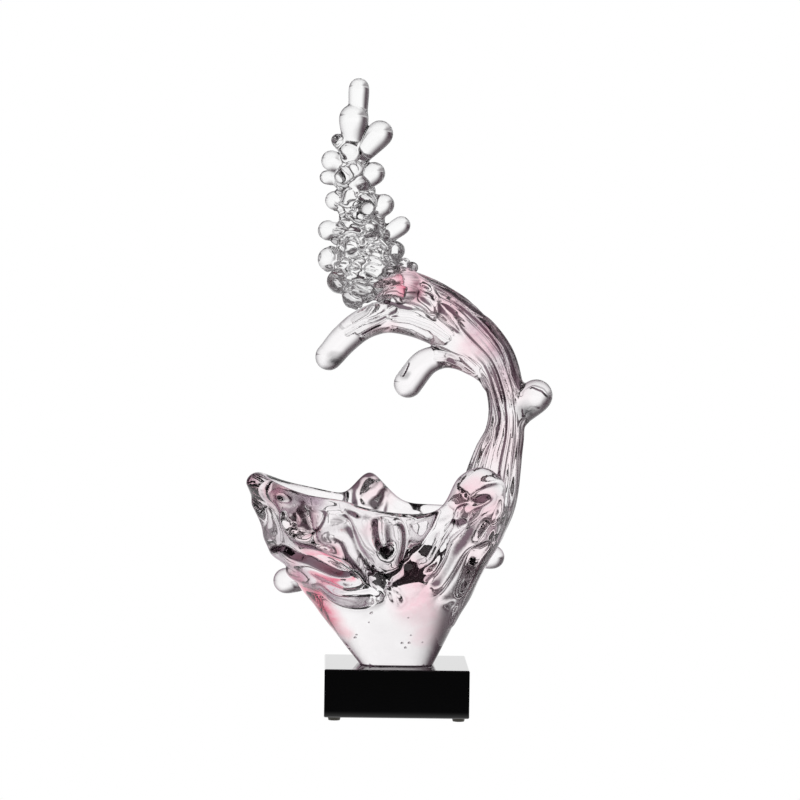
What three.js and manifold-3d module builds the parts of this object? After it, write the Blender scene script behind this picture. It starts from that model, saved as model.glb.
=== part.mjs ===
// A breaking wave in hot-worked glass: a lobed bowl, a fluted stem that arches back over it, two drips
// that hang from the arch, and a spray of drops. It is glued to a black crystal plinth on four feet.
// Millimetres, +Z up, and the front of the wave faces -Y.

import * as THREE from "three";
import { mergeVertices } from "three/addons/utils/BufferGeometryUtils.js";
import Module from "manifold-3d";

const wasm = await Module();
wasm.setup();

// Plinth, feet and glue

const PLINTH_WIDTH = 120;
const PLINTH_DEPTH = 100;
const PLINTH_HEIGHT = 40;
const PLINTH_BEVEL = 0.8;
const FOOT_DIAMETER = 11;
const FOOT_TIP_DIAMETER = 9.6;
const FOOT_HEIGHT = 3;
const FOOT_INSET = 8.5; // from the plinth's sides to a foot's centre
const GLUE_THICKNESS = 0.4;
const GLUE_MARGIN = 1.2; // the film ends this far inside the edge of the glass

// Glass bits lie this far apart where the real ones are fused.
const FUSED_GAP = 0.3;

// Bowl, in heights above its seat on the glue

const BOWL_SEAT_WIDTH = 62;
const BOWL_SEAT_DEPTH = 54;
const BOWL_BELLY_WIDTH = 188;
const BOWL_BELLY_DEPTH = 126;
const BOWL_BELLY_HEIGHT = 107; // where the wall has turned upright
const BOWL_BELLY_SHIFT = -15; // how far the belly's centre lies beside the seat's
const BOWL_WALL_TURN = 0.88; // share of the belly's height where the straight cone aims
const BOWL_SEAT_SQUARENESS = 4; // power of the outline at the seat
const BOWL_BELLY_SQUARENESS = 2; // and at the belly, where it is an ellipse
const BOWL_RIM_HEIGHT = 129; // of its lowest stretches
const BOWL_WALL = 10;
const BOWL_FLOOR_HEIGHT = 54; // solid glass under the cavity
const BOWL_FLOOR_SHIFT = -26; // how far the cavity's lowest point lies beside the seat's centre
const BOWL_FLARE_HEIGHT = 24; // of the zone under the rim where the lobes swing out

// The cavity narrows towards its floor by this power, and slants more on the stem's side.
const CAVITY_ROUND = 0.5;
const CAVITY_SLANT = 3.0;
const CAVITY_SLANT_AZIMUTH = -5;
const CAVITY_SLANT_SPREAD = 75;

// Waves of the rim: angles in degrees anticlockwise from +X, the rest in millimetres.
const RIM_WAVES = [
  { azimuth: 200, spread: 38, rise: 16, reach: 0, bead: 0 },
  { azimuth: 180, spread: 12, rise: 11, reach: 20, bead: 9 },
  { azimuth: 150, spread: 25, rise: 9, reach: 0, bead: 0 },
  { azimuth: 99, spread: 11, rise: 24, reach: 2, bead: 10 },
  { azimuth: 80, spread: 9, rise: 6, reach: 0, bead: 2 },
  { azimuth: -21, spread: 12, rise: 38, reach: 20, bead: 22 },
];

// Folds run up the wall from one azimuth to another. A negative depth is a ridge.
const WALL_FOLDS = [
  { footAzimuth: -84, rimAzimuth: -115, width: 8, depth: 8 },
  { footAzimuth: -118, rimAzimuth: -134, width: 8, depth: -4 },
  { footAzimuth: -60, rimAzimuth: -72, width: 9, depth: -4 },
  { footAzimuth: 70, rimAzimuth: 72, width: 11, depth: 6 },
  { footAzimuth: 140, rimAzimuth: 128, width: 10, depth: 5 },
];

// Ridges trailed over the outer wall, and valleys where "raised" is negative. "width" is the half width
// of a mark, and each stop is an azimuth and a height.
const WALL_MARKS = [
  { width: 5, raised: 9, stops: [[-154, 136], [-148, 143], [-140, 143], [-131, 141], [-124, 138]] },
  {
    width: 3.4,
    raised: 6.5,
    stops: [[-125, 139], [-125, 128], [-128, 114], [-136, 107], [-145, 109], [-151, 118], [-152, 132]],
  },
  { width: 4.2, raised: 7.5, stops: [[-125, 116], [-116, 108], [-112, 94], [-103, 80], [-93, 68]] },
  { width: 4, raised: -7.5, stops: [[-121, 128], [-111, 114], [-99, 92], [-92, 73], [-85, 53]] },
  {
    width: 3.6,
    raised: 7.5,
    stops: [[-122, 138], [-113, 124], [-104, 104], [-96, 85], [-88, 66], [-80, 50]],
  },
  { width: 5, raised: -5.5, stops: [[-172, 136], [-165, 129], [-162, 118], [-160, 107], [-169, 93]] },
  { width: 4.6, raised: 5, stops: [[-184, 134], [-177, 121], [-178, 102], [-178, 86]] },
  {
    width: 4.2,
    raised: 7.5,
    stops: [[-176, 88], [-162, 94], [-155, 88], [-147, 84], [-136, 80], [-126, 76], [-112, 72]],
  },
  { width: 3.6, raised: -6.5, stops: [[-158, 105], [-148, 98], [-138, 96], [-130, 90], [-120, 80]] },
  {
    width: 4.4,
    raised: 8.5,
    stops: [[-168, 78], [-149, 73], [-137, 70], [-128, 60], [-112, 59], [-93, 62]],
  },
  {
    width: 5,
    raised: 7,
    stops: [[-99, 132], [-99, 115], [-95, 98], [-87, 92], [-80, 103], [-79, 124]],
  },
  { width: 4.6, raised: -6.5, stops: [[-91, 126], [-90, 113], [-87, 102]] },
  { width: 4, raised: 5, stops: [[-112, 131], [-107, 116], [-102, 101]] },
  { width: 4.4, raised: -5.5, stops: [[-74, 126], [-72, 109], [-73, 88]] },
  { width: 3.6, raised: 7, stops: [[-55, 77], [-48, 93], [-43, 108], [-36, 118], [-33, 126]] },
  { width: 3.8, raised: -7, stops: [[-53, 70], [-44, 88], [-38, 103], [-31, 114], [-27, 124]] },
  { width: 3.4, raised: 6.5, stops: [[-49, 62], [-41, 82], [-35, 96], [-27, 110], [-20, 124]] },
  { width: 3.8, raised: -5.5, stops: [[-44, 56], [-36, 74], [-29, 92], [-19, 106]] },
  { width: 3.4, raised: 5, stops: [[-40, 52], [-31, 70], [-24, 90], [-15, 104]] },
  { width: 3.4, raised: 5.5, stops: [[-61, 90], [-55, 104], [-49, 120], [-45, 134]] },
  { width: 4, raised: 5.5, stops: [[60, 130], [64, 108], [58, 84], [50, 60]] },
  { width: 4, raised: -6.5, stops: [[86, 138], [92, 112], [84, 86], [76, 62]] },
  { width: 3.6, raised: 6.5, stops: [[104, 146], [112, 126], [120, 108], [138, 90]] },
  { width: 3.4, raised: -5.5, stops: [[96, 150], [101, 142], [106, 132], [98, 122], [90, 130]] },
  {
    width: 3.8,
    raised: 5.5,
    stops: [[150, 128], [142, 112], [146, 100], [156, 104], [156, 116], [150, 128]],
  },
  { width: 4, raised: -5.5, stops: [[22, 126], [30, 104], [38, 80], [40, 58]] },
];
const MARK_FADE = 0.12; // share of a mark's length over which each of its ends fades
const MARKS_START_HEIGHT = 40;
const MARKS_FULL_HEIGHT = 64;
const MARKS_END_UNDER_RIM = 10;

// A round boss of glass pressed on the wall's front left.
const BOSS_AZIMUTH = -143;
const BOSS_HEIGHT = 117;
const BOSS_RADIUS = 13;
const BOSS_PROUD = 6;

// Folds and boss fade in between these heights, so the solid foot of the bowl stays smooth.
const FOLDS_START_HEIGHT = 38;
const FOLDS_FULL_HEIGHT = 86;

// Stem: its root lies in the bowl's right wall, its arch is measured from where it leaves the rim.
// "across" and "deep" are half widths, in the arch's plane and along Y.
const STEM_ROOT = [
  { azimuth: -24, height: 34, inset: 3, across: 3.5, deep: 6 },
  { azimuth: -21, height: 56, inset: 4, across: 7, deep: 14 },
  { azimuth: -15, height: 80, inset: 7, across: 12, deep: 22 },
  { azimuth: -8, height: 106, inset: 10, across: 18, deep: 27 },
];
const STEM_LEAVES_AZIMUTH = 0;
const STEM_LEAVES_HEIGHT = 136;
const STEM_LEAVES_INSET = 8.5;
const STEM_LEAVES_ACROSS = 23.5;
const STEM_LEAVES_DEEP = 25;
const STEM_ARCH = [
  { x: 8, y: 3, z: 37, across: 20, deep: 18 },
  { x: 13.5, y: 4, z: 57, across: 16, deep: 15.5 },
  { x: 14.6, y: 4, z: 76, across: 14.2, deep: 14 },
  { x: 11, y: 3, z: 98, across: 14, deep: 14 },
  { x: 3.2, y: 1, z: 120, across: 14.5, deep: 14 },
  { x: -13, y: 0, z: 140, across: 15.5, deep: 14.5 },
  { x: -31, y: 0, z: 157.5, across: 15, deep: 14.5 },
  { x: -51, y: 0, z: 170, across: 14.5, deep: 14 },
  { x: -72, y: 0, z: 178.5, across: 14.5, deep: 14 },
  { x: -88, y: 0, z: 184, across: 15, deep: 15 },
];
const STEM_STRANDS = 10;
const STEM_FLUTE = 0.6; // depth of the grooves
const STEM_TWIST = 70; // degrees from root to tip
const STEM_FLUTES_START = 0.17; // share of the stem's length where the grooves and marks begin
const STEM_FLUTES_FULL = 0.36;

// Broad waves in the stem's face: how many go round it, how far they turn by its tip, and their height.
const STEM_BROAD_WAVES = [
  { count: 3, turn: 5, raised: 0.6 },
  { count: 5, turn: -7, raised: 0.6 },
];

// Ridges and valleys on the stem. Each stop is an angle round it and a distance along it. The outer side
// of the arch is at 0 degrees and its front at 270.
const STEM_MARKS = [
  { width: 2.6, raised: 3.6, stops: [[214, 348], [202, 330], [200, 312], [222, 296]] },
  {
    width: 3.0,
    raised: -4.0,
    stops: [[270, 304], [248, 282], [234, 266], [242, 242], [252, 218], [258, 196], [266, 170]],
  },
  {
    width: 2.6,
    raised: 3.4,
    stops: [[296, 306], [284, 286], [268, 262], [268, 236], [274, 212], [278, 190], [286, 166]],
  },
  {
    width: 2.4,
    raised: -3.0,
    stops: [[310, 312], [292, 290], [302, 264], [306, 244], [312, 226], [326, 206]],
  },
  { width: 2.4, raised: 3.4, stops: [[334, 268], [350, 248], [356, 232], [356, 216], [338, 200]] },
  { width: 4.0, raised: 3.0, stops: [[182, 304], [204, 262], [220, 234], [238, 210], [242, 184]] },
  { width: 2.4, raised: -2.6, stops: [[190, 240], [200, 210], [214, 180], [226, 150]] },
  { width: 2.4, raised: 2.6, stops: [[266, 200], [274, 180], [280, 150], [276, 122]] },
  { width: 2.4, raised: 2.6, stops: [[230, 178], [248, 154], [248, 128]] },
  { width: 2.4, raised: -2.6, stops: [[338, 342], [336, 316], [330, 290], [328, 268]] },
];

// Drips leave the stem's middle line at the given height above the point where it leaves the rim, on the
// arch's rising side, and each further point is measured from there.
const LONG_DRIP_LEAVES = 92;
const LONG_DRIP = [
  { x: -7, y: 0, z: 1.5, radius: 8 },
  { x: -20, y: -1, z: 22.5, radius: 11 },
  { x: -37.5, y: -2, z: 39, radius: 12.5 },
  { x: -58.5, y: -3, z: 51.5, radius: 13.5 },
  { x: -79.5, y: -3, z: 59, radius: 13.8 },
  { x: -100.5, y: -3, z: 61, radius: 13.6 },
  { x: -119.5, y: -3, z: 54, radius: 13 },
  { x: -135, y: -3, z: 41, radius: 12.4 },
  { x: -146, y: -3, z: 28, radius: 11.6 },
  { x: -155, y: -3, z: 19, radius: 11.3 },
];
const SHORT_DRIP_LEAVES = 92;
const SHORT_DRIP = [
  { x: -12, y: -3, z: 13, radius: 6.5 },
  { x: -25, y: -4, z: 19.5, radius: 7.5 },
  { x: -39, y: -5, z: 26, radius: 8.2 },
  { x: -51.5, y: -6, z: 28, radius: 9.4 },
  { x: -66, y: -6, z: 23.5, radius: 11.5 },
  { x: -78, y: -6, z: 9, radius: 12 },
  { x: -87, y: -6, z: -4.5, radius: 12 },
];

// A knob on the stem's outer side, its root at this height above the point where the stem leaves the rim.
const KNOB_LEAVES = 68;
const KNOB_RADIUS = 14.6;
const KNOB_REACH = 32.5;
const KNOB_TAIL = 0.85; // its width at the root, as a share of its bulb's
const KNOB_LIFT = 40; // degrees above level

// Drops on the bowl's outside. "outward" is from the wall's face to the bulb's centre.
const BOWL_DROPS = [
  { name: "bowl_drop_left", azimuth: 158, height: 64, radius: 11.5, outward: 18, lift: 0 },
  { name: "bowl_drop_right", azimuth: 15, height: 84, radius: 10.5, outward: 14, lift: 3 },
];

// Spray core, measured from the stem's end, with its radius
const CORE_AXIS = [
  { x: -14, y: 0, z: -18, radius: 16 },
  { x: -15, y: 0, z: 4, radius: 26 },
  { x: -18, y: 0, z: 24, radius: 22.5 },
  { x: -22, y: 0, z: 45, radius: 17.5 },
  { x: -26, y: 0, z: 66, radius: 13 },
  { x: -29.5, y: 0, z: 87, radius: 10.5 },
  { x: -28, y: 0, z: 108, radius: 7 },
  { x: -25, y: 0, z: 130, radius: 5 },
];
const CORE_LUMP = 0.1; // height of the lumps, as a share of the radius
const CORE_LUMPS_ROUND = 5;
const CORE_LUMPS_ALONG = 6;

// Spray drops: "root" and "height" are above the stem's end, the root on the core's axis and the bulb
// "out" from it.
const SPRAY_DROPS = [
  { root: 128, height: 159.5, azimuth: 0, out: 0.5, radius: 8.9, tail: 0.85 },
  { root: 104, height: 134, azimuth: 205, out: 4, radius: 13 },
  { root: 94, height: 122, azimuth: -12, out: 20, radius: 11.7 },
  { root: 98, height: 116, azimuth: 190, out: 15, radius: 5.8 },
  { root: 90, height: 99, azimuth: 168, out: 18, radius: 9.2 },
  { root: 80, height: 85, azimuth: 196, out: 22, radius: 6.2 },
  { root: 84, height: 87, azimuth: -118, out: 15, radius: 8 },
  { root: 74, height: 89, azimuth: -14, out: 19, radius: 10 },
  { root: 72, height: 62, azimuth: -62, out: 18, radius: 8.6, tail: 0.8 },
  { root: 58, height: 66, azimuth: 158, out: 19, radius: 8.4 },
  { root: 48, height: 63, azimuth: -8, out: 23, radius: 9.6 },
  { root: 38, height: 41, azimuth: 170, out: 28, radius: 9 },
  { root: 24, height: 46, azimuth: 8, out: 35, radius: 8.2, tail: 0.75 },
  { root: 34, height: 39, azimuth: -34, out: 24, radius: 4.2 },
  { root: 14, height: 17, azimuth: 188, out: 30, radius: 11.2 },
  { root: -2, height: -1, azimuth: 206, out: 27, radius: 11 },
  { root: -4, height: -14, azimuth: -136, out: 17, radius: 10.5 },
  { root: 22, height: 25, azimuth: -18, out: 27, radius: 8.6 },
  { root: 10, height: 13, azimuth: 6, out: 31, radius: 7 },
  { root: 84, height: 92, azimuth: 92, out: 18, radius: 8.6 },
  { root: 58, height: 66, azimuth: 66, out: 21, radius: 9 },
  { root: 38, height: 46, azimuth: 112, out: 25, radius: 9.6 },
  { root: 20, height: 26, azimuth: 62, out: 28, radius: 9.2 },
  { root: 4, height: 10, azimuth: 108, out: 30, radius: 11 },
  { root: 100, height: 112, azimuth: 76, out: 14, radius: 7 },
  { root: 40, height: 44, azimuth: -66, out: 21, radius: 7.6 },
  { root: 22, height: 29, azimuth: -112, out: 24, radius: 8.4 },
  { root: 6, height: 8, azimuth: -74, out: 27, radius: 9.6 },
  { root: 4, height: 11, azimuth: -4, out: 38, radius: 5.2, tail: 0.8 },
];
const DROP_TAIL = 0.45; // width at the root of any other drop, as a share of its bulb's

// Fineness of the meshes

const BOWL_SIDES = 90;
const BOWL_WALL_RINGS = 23;
const BOWL_RIM_RINGS = 4;
const BOWL_CAVITY_RINGS = 10;
const GLUE_SIDES = 24;
const MARK_SAMPLES = 40;
const STEM_STEPS = 34;
const STEM_SIDES = 3 * STEM_STRANDS;
const DRIP_STEPS = 14;
const DRIP_SIDES = 12;
const CORE_STEPS = 20;
const CORE_SIDES = 15;
const CAP_RINGS = 3;
const DROP_SIDES = 9;
const DROP_RINGS = 4;
const FOOT_SIDES = 24;
const ROUTE_SAMPLES = 400; // points looked at to find a height on a route
const WELD = 1e-4; // points nearer than this are one

// Colours and finishes

const CLEAR_GLASS = { color: 0xeef0f2, roughness: 0.03, metalness: 0, transparent: true, opacity: 0.35 };
const ROSE_GLASS = { color: 0xf6c3d0, roughness: 0.03, metalness: 0, transparent: true, opacity: 0.4 };
const BLACK_CRYSTAL = { color: 0x050506, roughness: 0.05, metalness: 0 };
const CLEAR_GLUE = { color: 0xe8e6e0, roughness: 0.2, metalness: 0, transparent: true, opacity: 0.5 };
const AMBER_RUBBER = { color: 0x6b5a34, roughness: 0.6, metalness: 0 };

const radians = THREE.MathUtils.degToRad;

// Solids: closed meshes that can be cut and joined

function solidOf(geometry) {
  geometry.deleteAttribute("normal");
  geometry.deleteAttribute("uv");
  const merged = mergeVertices(geometry, WELD);
  return new wasm.Manifold(
    new wasm.Mesh({
      numProp: 3,
      vertProperties: merged.attributes.position.array,
      triVerts: new Uint32Array(merged.index.array),
    }),
  );
}

function geometryOf(solid) {
  const mesh = solid.getMesh();
  const geometry = new THREE.BufferGeometry();
  geometry.setAttribute("position", new THREE.BufferAttribute(mesh.vertProperties, mesh.numProp));
  geometry.setIndex(new THREE.BufferAttribute(mesh.triVerts, 1));
  geometry.computeVertexNormals();
  return geometry;
}

// What is left of a solid outside its neighbours, without the chips that a cut leaves behind.
function cutAway(solid, neighbours) {
  const left = neighbours.reduce((rest, neighbour) => rest.subtract(neighbour), solid);
  return left.decompose().reduce((most, body) => (body.volume() > most.volume() ? body : most));
}

// A closed skin over rings of equal length, with a fan at each end. The rings run anticlockwise as seen
// from the last one.
function skin(rings, firstPole, lastPole) {
  const sides = rings[0].length;
  const points = [firstPole, ...rings.flat(), lastPole];
  const last = points.length - 1;
  const faces = [];
  for (let side = 0; side < sides; side += 1) {
    const next = (side + 1) % sides;
    faces.push(0, 1 + next, 1 + side);
    for (let ring = 0; ring + 1 < rings.length; ring += 1) {
      const low = 1 + ring * sides;
      const high = low + sides;
      faces.push(low + side, low + next, high + next);
      faces.push(low + side, high + next, high + side);
    }
    faces.push(last, last - sides + side, last - sides + next);
  }
  const geometry = new THREE.BufferGeometry().setFromPoints(points);
  geometry.setIndex(faces);
  return geometry;
}

// Marks on a face

// A bell curve that is 1 at its middle.
function bell(distance, spread) {
  return Math.exp(-0.5 * (distance / spread) ** 2);
}

// The angle from one azimuth to another, between -180 and 180 degrees.
function turn(from, to) {
  return THREE.MathUtils.euclideanModulo(to - from + 180, 360) - 180;
}

// Marks as lists of places, each with the mark's strength there.
function trails(marks) {
  return marks.map(({ width, raised, stops }) => {
    const line = new THREE.CatmullRomCurve3(stops.map(([degrees, up]) => new THREE.Vector3(degrees, up, 0)));
    const places = line.getSpacedPoints(MARK_SAMPLES).map((point, place) => {
      const share = place / MARK_SAMPLES;
      const start = THREE.MathUtils.smoothstep(share, 0, MARK_FADE);
      const end = THREE.MathUtils.smoothstep(1 - share, 0, MARK_FADE);
      return { degrees: point.x, up: point.y, strength: start * end };
    });
    return { width, raised, places };
  });
}

// How far the marks raise a face that has the given radius there.
function markHeight(trailed, degrees, up, radius) {
  return trailed.reduce((sum, { width, raised, places }) => {
    const nearest = places.reduce((best, place) => {
      const aside = radians(turn(place.degrees, degrees)) * radius;
      return Math.max(best, place.strength * bell(Math.hypot(aside, up - place.up), width));
    }, 0);
    return sum + raised * nearest;
  }, 0);
}

// Bowl

function rimSum(azimuth, quantity) {
  return RIM_WAVES.reduce(
    (sum, wave) => sum + wave[quantity] * bell(turn(wave.azimuth, azimuth), wave.spread),
    0,
  );
}

const rimHeight = (azimuth) => BOWL_RIM_HEIGHT + rimSum(azimuth, "rise");

// How far the wall has opened at a height: 0 at the seat and 1 at the belly.
function opening(height) {
  const share = THREE.MathUtils.clamp(height / BOWL_BELLY_HEIGHT, 0, 1);
  const aim = BOWL_WALL_TURN;
  const along = (aim - Math.sqrt(aim * aim - (2 * aim - 1) * share)) / (2 * aim - 1);
  return along * (2 - along);
}

// Folds and the boss, as a distance outward.
function relief(azimuth, height) {
  const up = height / BOWL_BELLY_HEIGHT;
  const fading = THREE.MathUtils.smoothstep(height, FOLDS_START_HEIGHT, FOLDS_FULL_HEIGHT);
  const folds = WALL_FOLDS.reduce((sum, fold) => {
    const middle = THREE.MathUtils.lerp(fold.footAzimuth, fold.rimAzimuth, up);
    return sum - fold.depth * fading * bell(turn(middle, azimuth), fold.width);
  }, 0);
  const aside = radians(turn(BOSS_AZIMUTH, azimuth)) * (BOWL_BELLY_DEPTH / 2);
  const boss = BOSS_PROUD * bell(Math.hypot(aside, height - BOSS_HEIGHT), BOSS_RADIUS);
  return folds + boss;
}

// A point of the bowl's outer face, or the given depth inside it.
function wallPoint(azimuth, height, depth = 0) {
  const open = opening(height);
  const flare = THREE.MathUtils.smoothstep(height, BOWL_RIM_HEIGHT - BOWL_FLARE_HEIGHT, rimHeight(azimuth));
  const halfWidth = THREE.MathUtils.lerp(BOWL_SEAT_WIDTH, BOWL_BELLY_WIDTH, open) / 2;
  const halfDepth = THREE.MathUtils.lerp(BOWL_SEAT_DEPTH, BOWL_BELLY_DEPTH, open) / 2;
  const c = Math.cos(radians(azimuth));
  const s = Math.sin(radians(azimuth));
  const power = THREE.MathUtils.lerp(BOWL_SEAT_SQUARENESS, BOWL_BELLY_SQUARENESS, open);
  const outline = (Math.abs(c / halfWidth) ** power + Math.abs(s / halfDepth) ** power) ** (-1 / power);
  const reach = outline + flare * rimSum(azimuth, "reach") + relief(azimuth, height) - depth;
  return new THREE.Vector3(open * BOWL_BELLY_SHIFT + reach * c, reach * s, height);
}

const wallTrails = trails(WALL_MARKS);

// How far the marks raise the outer wall.
function wallMark(azimuth, height) {
  const radius = THREE.MathUtils.lerp(BOWL_SEAT_DEPTH, BOWL_BELLY_DEPTH, opening(height)) / 2;
  const start = THREE.MathUtils.smoothstep(height, MARKS_START_HEIGHT, MARKS_FULL_HEIGHT);
  const end = THREE.MathUtils.smoothstep(rimHeight(azimuth) - height, 0, MARKS_END_UNDER_RIM);
  return start * end * markHeight(wallTrails, azimuth, height, radius);
}

// The bowl's wall, thick at its lobes and towards the floor. "grow" swells it on every side.
function bowlSolid(grow) {
  const azimuths = Array.from({ length: BOWL_SIDES }, (_, side) => (side * 360) / BOWL_SIDES);
  const ringAt = (place) => azimuths.map(place);
  const wallAt = (azimuth) => BOWL_WALL + rimSum(azimuth, "bead");
  const rings = [];
  for (let ring = 0; ring <= BOWL_WALL_RINGS; ring += 1) {
    const share = ring / BOWL_WALL_RINGS;
    rings.push(
      ringAt((azimuth) => {
        const height = share * (rimHeight(azimuth) - wallAt(azimuth) / 2);
        return wallPoint(azimuth, height, -grow - wallMark(azimuth, height));
      }),
    );
  }
  for (let ring = 1; ring < BOWL_RIM_RINGS; ring += 1) {
    const round = (Math.PI * ring) / BOWL_RIM_RINGS;
    rings.push(
      ringAt((azimuth) => {
        const half = wallAt(azimuth) / 2;
        const height = rimHeight(azimuth) - half;
        const mark = wallMark(azimuth, height + half * Math.sin(round)) * Math.max(0, Math.cos(round));
        const point = wallPoint(azimuth, height, half - mark - (half + grow) * Math.cos(round));
        point.z += (half + grow) * Math.sin(round);
        return point;
      }),
    );
  }
  for (let ring = 0; ring < BOWL_CAVITY_RINGS; ring += 1) {
    const share = ring / BOWL_CAVITY_RINGS;
    rings.push(
      ringAt((azimuth) => {
        const wall = wallAt(azimuth);
        const top = rimHeight(azimuth) - wall / 2;
        const drop = Math.sin((share * Math.PI) / 2);
        const height = THREE.MathUtils.lerp(top, BOWL_FLOOR_HEIGHT - grow, drop);
        const inner = wallPoint(azimuth, height, wall + grow);
        const slant = CAVITY_SLANT * bell(turn(CAVITY_SLANT_AZIMUTH, azimuth), CAVITY_SLANT_SPREAD);
        const closing = (1 - share * share) ** (CAVITY_ROUND + slant);
        inner.x = THREE.MathUtils.lerp(BOWL_FLOOR_SHIFT, inner.x, closing);
        inner.y *= closing;
        return inner;
      }),
    );
  }
  const floorPole = new THREE.Vector3(BOWL_FLOOR_SHIFT, 0, BOWL_FLOOR_HEIGHT - grow);
  return solidOf(skin(rings, new THREE.Vector3(0, 0, 0), floorPole));
}

// Tubes: round-ended rods along a route, with their own relief

const smooth = () => 0;

// "route" is a list of { at, across, deep }. "relief" tells how far the rod's face stands out, from the
// angle round it, the share of its length, that length and its size there. "grow" swells it on every side.
function tubeSolid(route, sides, steps, relief, grow) {
  const line = new THREE.CatmullRomCurve3(route.map((stop) => stop.at));
  const sizes = new THREE.CatmullRomCurve3(
    route.map((stop) => new THREE.Vector3(stop.across, stop.deep, 0)),
  );
  const length = line.getLength();
  const startCap = route[0].across;
  const endCap = route[route.length - 1].across;
  const between = length - startCap - endCap;
  const quarter = Math.PI / 2;
  const capAngles = Array.from({ length: CAP_RINGS }, (_, ring) => ((ring + 1) / CAP_RINGS) * quarter);
  const stations = capAngles.map((round) => ({
    along: startCap * (1 - Math.cos(round)),
    round,
    facing: -1,
  }));
  for (let step = 1; step < steps; step += 1) {
    stations.push({ along: startCap + (between * step) / steps, round: quarter, facing: 1 });
  }
  for (const round of capAngles.toReversed()) {
    stations.push({ along: length - endCap * (1 - Math.cos(round)), round, facing: 1 });
  }
  const rings = stations.map(({ along, round, facing }) => {
    const share = along / length;
    const place = line.getUtoTmapping(share);
    const tangent = line.getTangent(place);
    const centre = line.getPoint(place).addScaledVector(tangent, facing * grow * Math.cos(round));
    const size = sizes.getPoint(place);
    const deepWay = new THREE.Vector3(0, 1, 0).addScaledVector(tangent, -tangent.y).normalize();
    const acrossWay = new THREE.Vector3().crossVectors(deepWay, tangent);
    return Array.from({ length: sides }, (_, side) => {
      const angle = (2 * Math.PI * side) / sides;
      const swell = grow + relief(angle, share, length, size.x);
      return centre
        .clone()
        .addScaledVector(acrossWay, (size.x + swell) * Math.sin(round) * Math.cos(angle))
        .addScaledVector(deepWay, (size.y + swell) * Math.sin(round) * Math.sin(angle));
    });
  });
  const firstPole = line.getPoint(0).addScaledVector(line.getTangent(0), -grow);
  const lastPole = line.getPoint(1).addScaledVector(line.getTangent(1), grow);
  return solidOf(skin(rings, firstPole, lastPole));
}

const routeFrom = (origin, stops) =>
  stops.map((stop) => ({
    at: new THREE.Vector3(stop.x, stop.y, stop.z).add(origin),
    across: stop.across ?? stop.radius,
    deep: stop.deep ?? stop.radius,
  }));

// Stem

const stemLeaves = wallPoint(STEM_LEAVES_AZIMUTH, STEM_LEAVES_HEIGHT, STEM_LEAVES_INSET);

const stemRoute = [
  ...STEM_ROOT.map((stop) => ({
    at: wallPoint(stop.azimuth, stop.height, stop.inset),
    across: stop.across,
    deep: stop.deep,
  })),
  { at: stemLeaves, across: STEM_LEAVES_ACROSS, deep: STEM_LEAVES_DEEP },
  ...routeFrom(stemLeaves, STEM_ARCH),
];
const stemEnd = stemRoute[stemRoute.length - 1].at;

const stemTrails = trails(STEM_MARKS);

function stemRelief(angle, share, length, size) {
  const lean = angle + radians(STEM_TWIST) * share;
  const flutes = STEM_FLUTE * Math.cos(STEM_STRANDS * lean);
  const broad = STEM_BROAD_WAVES.reduce(
    (sum, wave) => sum + wave.raised * Math.cos(wave.count * lean + wave.turn * share),
    0,
  );
  const marks = markHeight(stemTrails, THREE.MathUtils.radToDeg(angle), share * length, size);
  return THREE.MathUtils.smoothstep(share, STEM_FLUTES_START, STEM_FLUTES_FULL) * (flutes + broad + marks);
}

const stemSolid = (grow) => tubeSolid(stemRoute, STEM_SIDES, STEM_STEPS, stemRelief, grow);

// The point of the stem's middle line at a height above where it leaves the rim, on its rising side.
function stemPoint(height) {
  const line = new THREE.CatmullRomCurve3(stemRoute.map((stop) => stop.at));
  const wanted = stemLeaves.z + height;
  return line.getSpacedPoints(ROUTE_SAMPLES).find((point) => point.z >= wanted);
}

// Teardrops

// A bulb with a tapering tail that reaches back to the root. Its outline is a cone that meets the bulb's
// circle on a tangent.
function dropSolid(root, bulb, radius, tailShare, grow) {
  const way = new THREE.Vector3().subVectors(bulb, root);
  const length = way.length();
  const tail = radius * tailShare + grow;
  const ball = radius + grow;
  const lean = Math.asin((ball - tail) / Math.max(length, radius));
  const outline = [new THREE.Vector2(0, 0), new THREE.Vector2(tail, 0)];
  for (let ring = 0; ring < DROP_RINGS; ring += 1) {
    const angle = THREE.MathUtils.lerp(-lean, Math.PI / 2, ring / DROP_RINGS);
    outline.push(new THREE.Vector2(ball * Math.cos(angle), length + ball * Math.sin(angle)));
  }
  outline.push(new THREE.Vector2(0, length + ball));
  const geometry = new THREE.LatheGeometry(outline, DROP_SIDES);
  geometry.applyQuaternion(
    new THREE.Quaternion().setFromUnitVectors(new THREE.Vector3(0, 1, 0), way.normalize()),
  );
  geometry.translate(root.x, root.y, root.z);
  return solidOf(geometry);
}

// Spray

const coreRoute = routeFrom(stemEnd, CORE_AXIS);
const coreLine = new THREE.CatmullRomCurve3(coreRoute.map((stop) => stop.at));

function coreRelief(angle, share, length, size) {
  const round = Math.sin(CORE_LUMPS_ROUND * angle + 2 * Math.PI * CORE_LUMPS_ALONG * share);
  const along = Math.cos(2 * Math.PI * CORE_LUMPS_ALONG * share - 2 * angle);
  return CORE_LUMP * size * round * along;
}

const coreSolid = (grow) => tubeSolid(coreRoute, CORE_SIDES, CORE_STEPS, coreRelief, grow);

// The core's axis at a height above the stem's end, carried on straight up past its top.
function corePoint(height) {
  const wanted = stemEnd.z + height;
  const points = coreLine.getSpacedPoints(ROUTE_SAMPLES);
  const found = points.find((point) => point.z >= wanted) ?? points[points.length - 1];
  return new THREE.Vector3(found.x, found.y, wanted);
}

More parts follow.
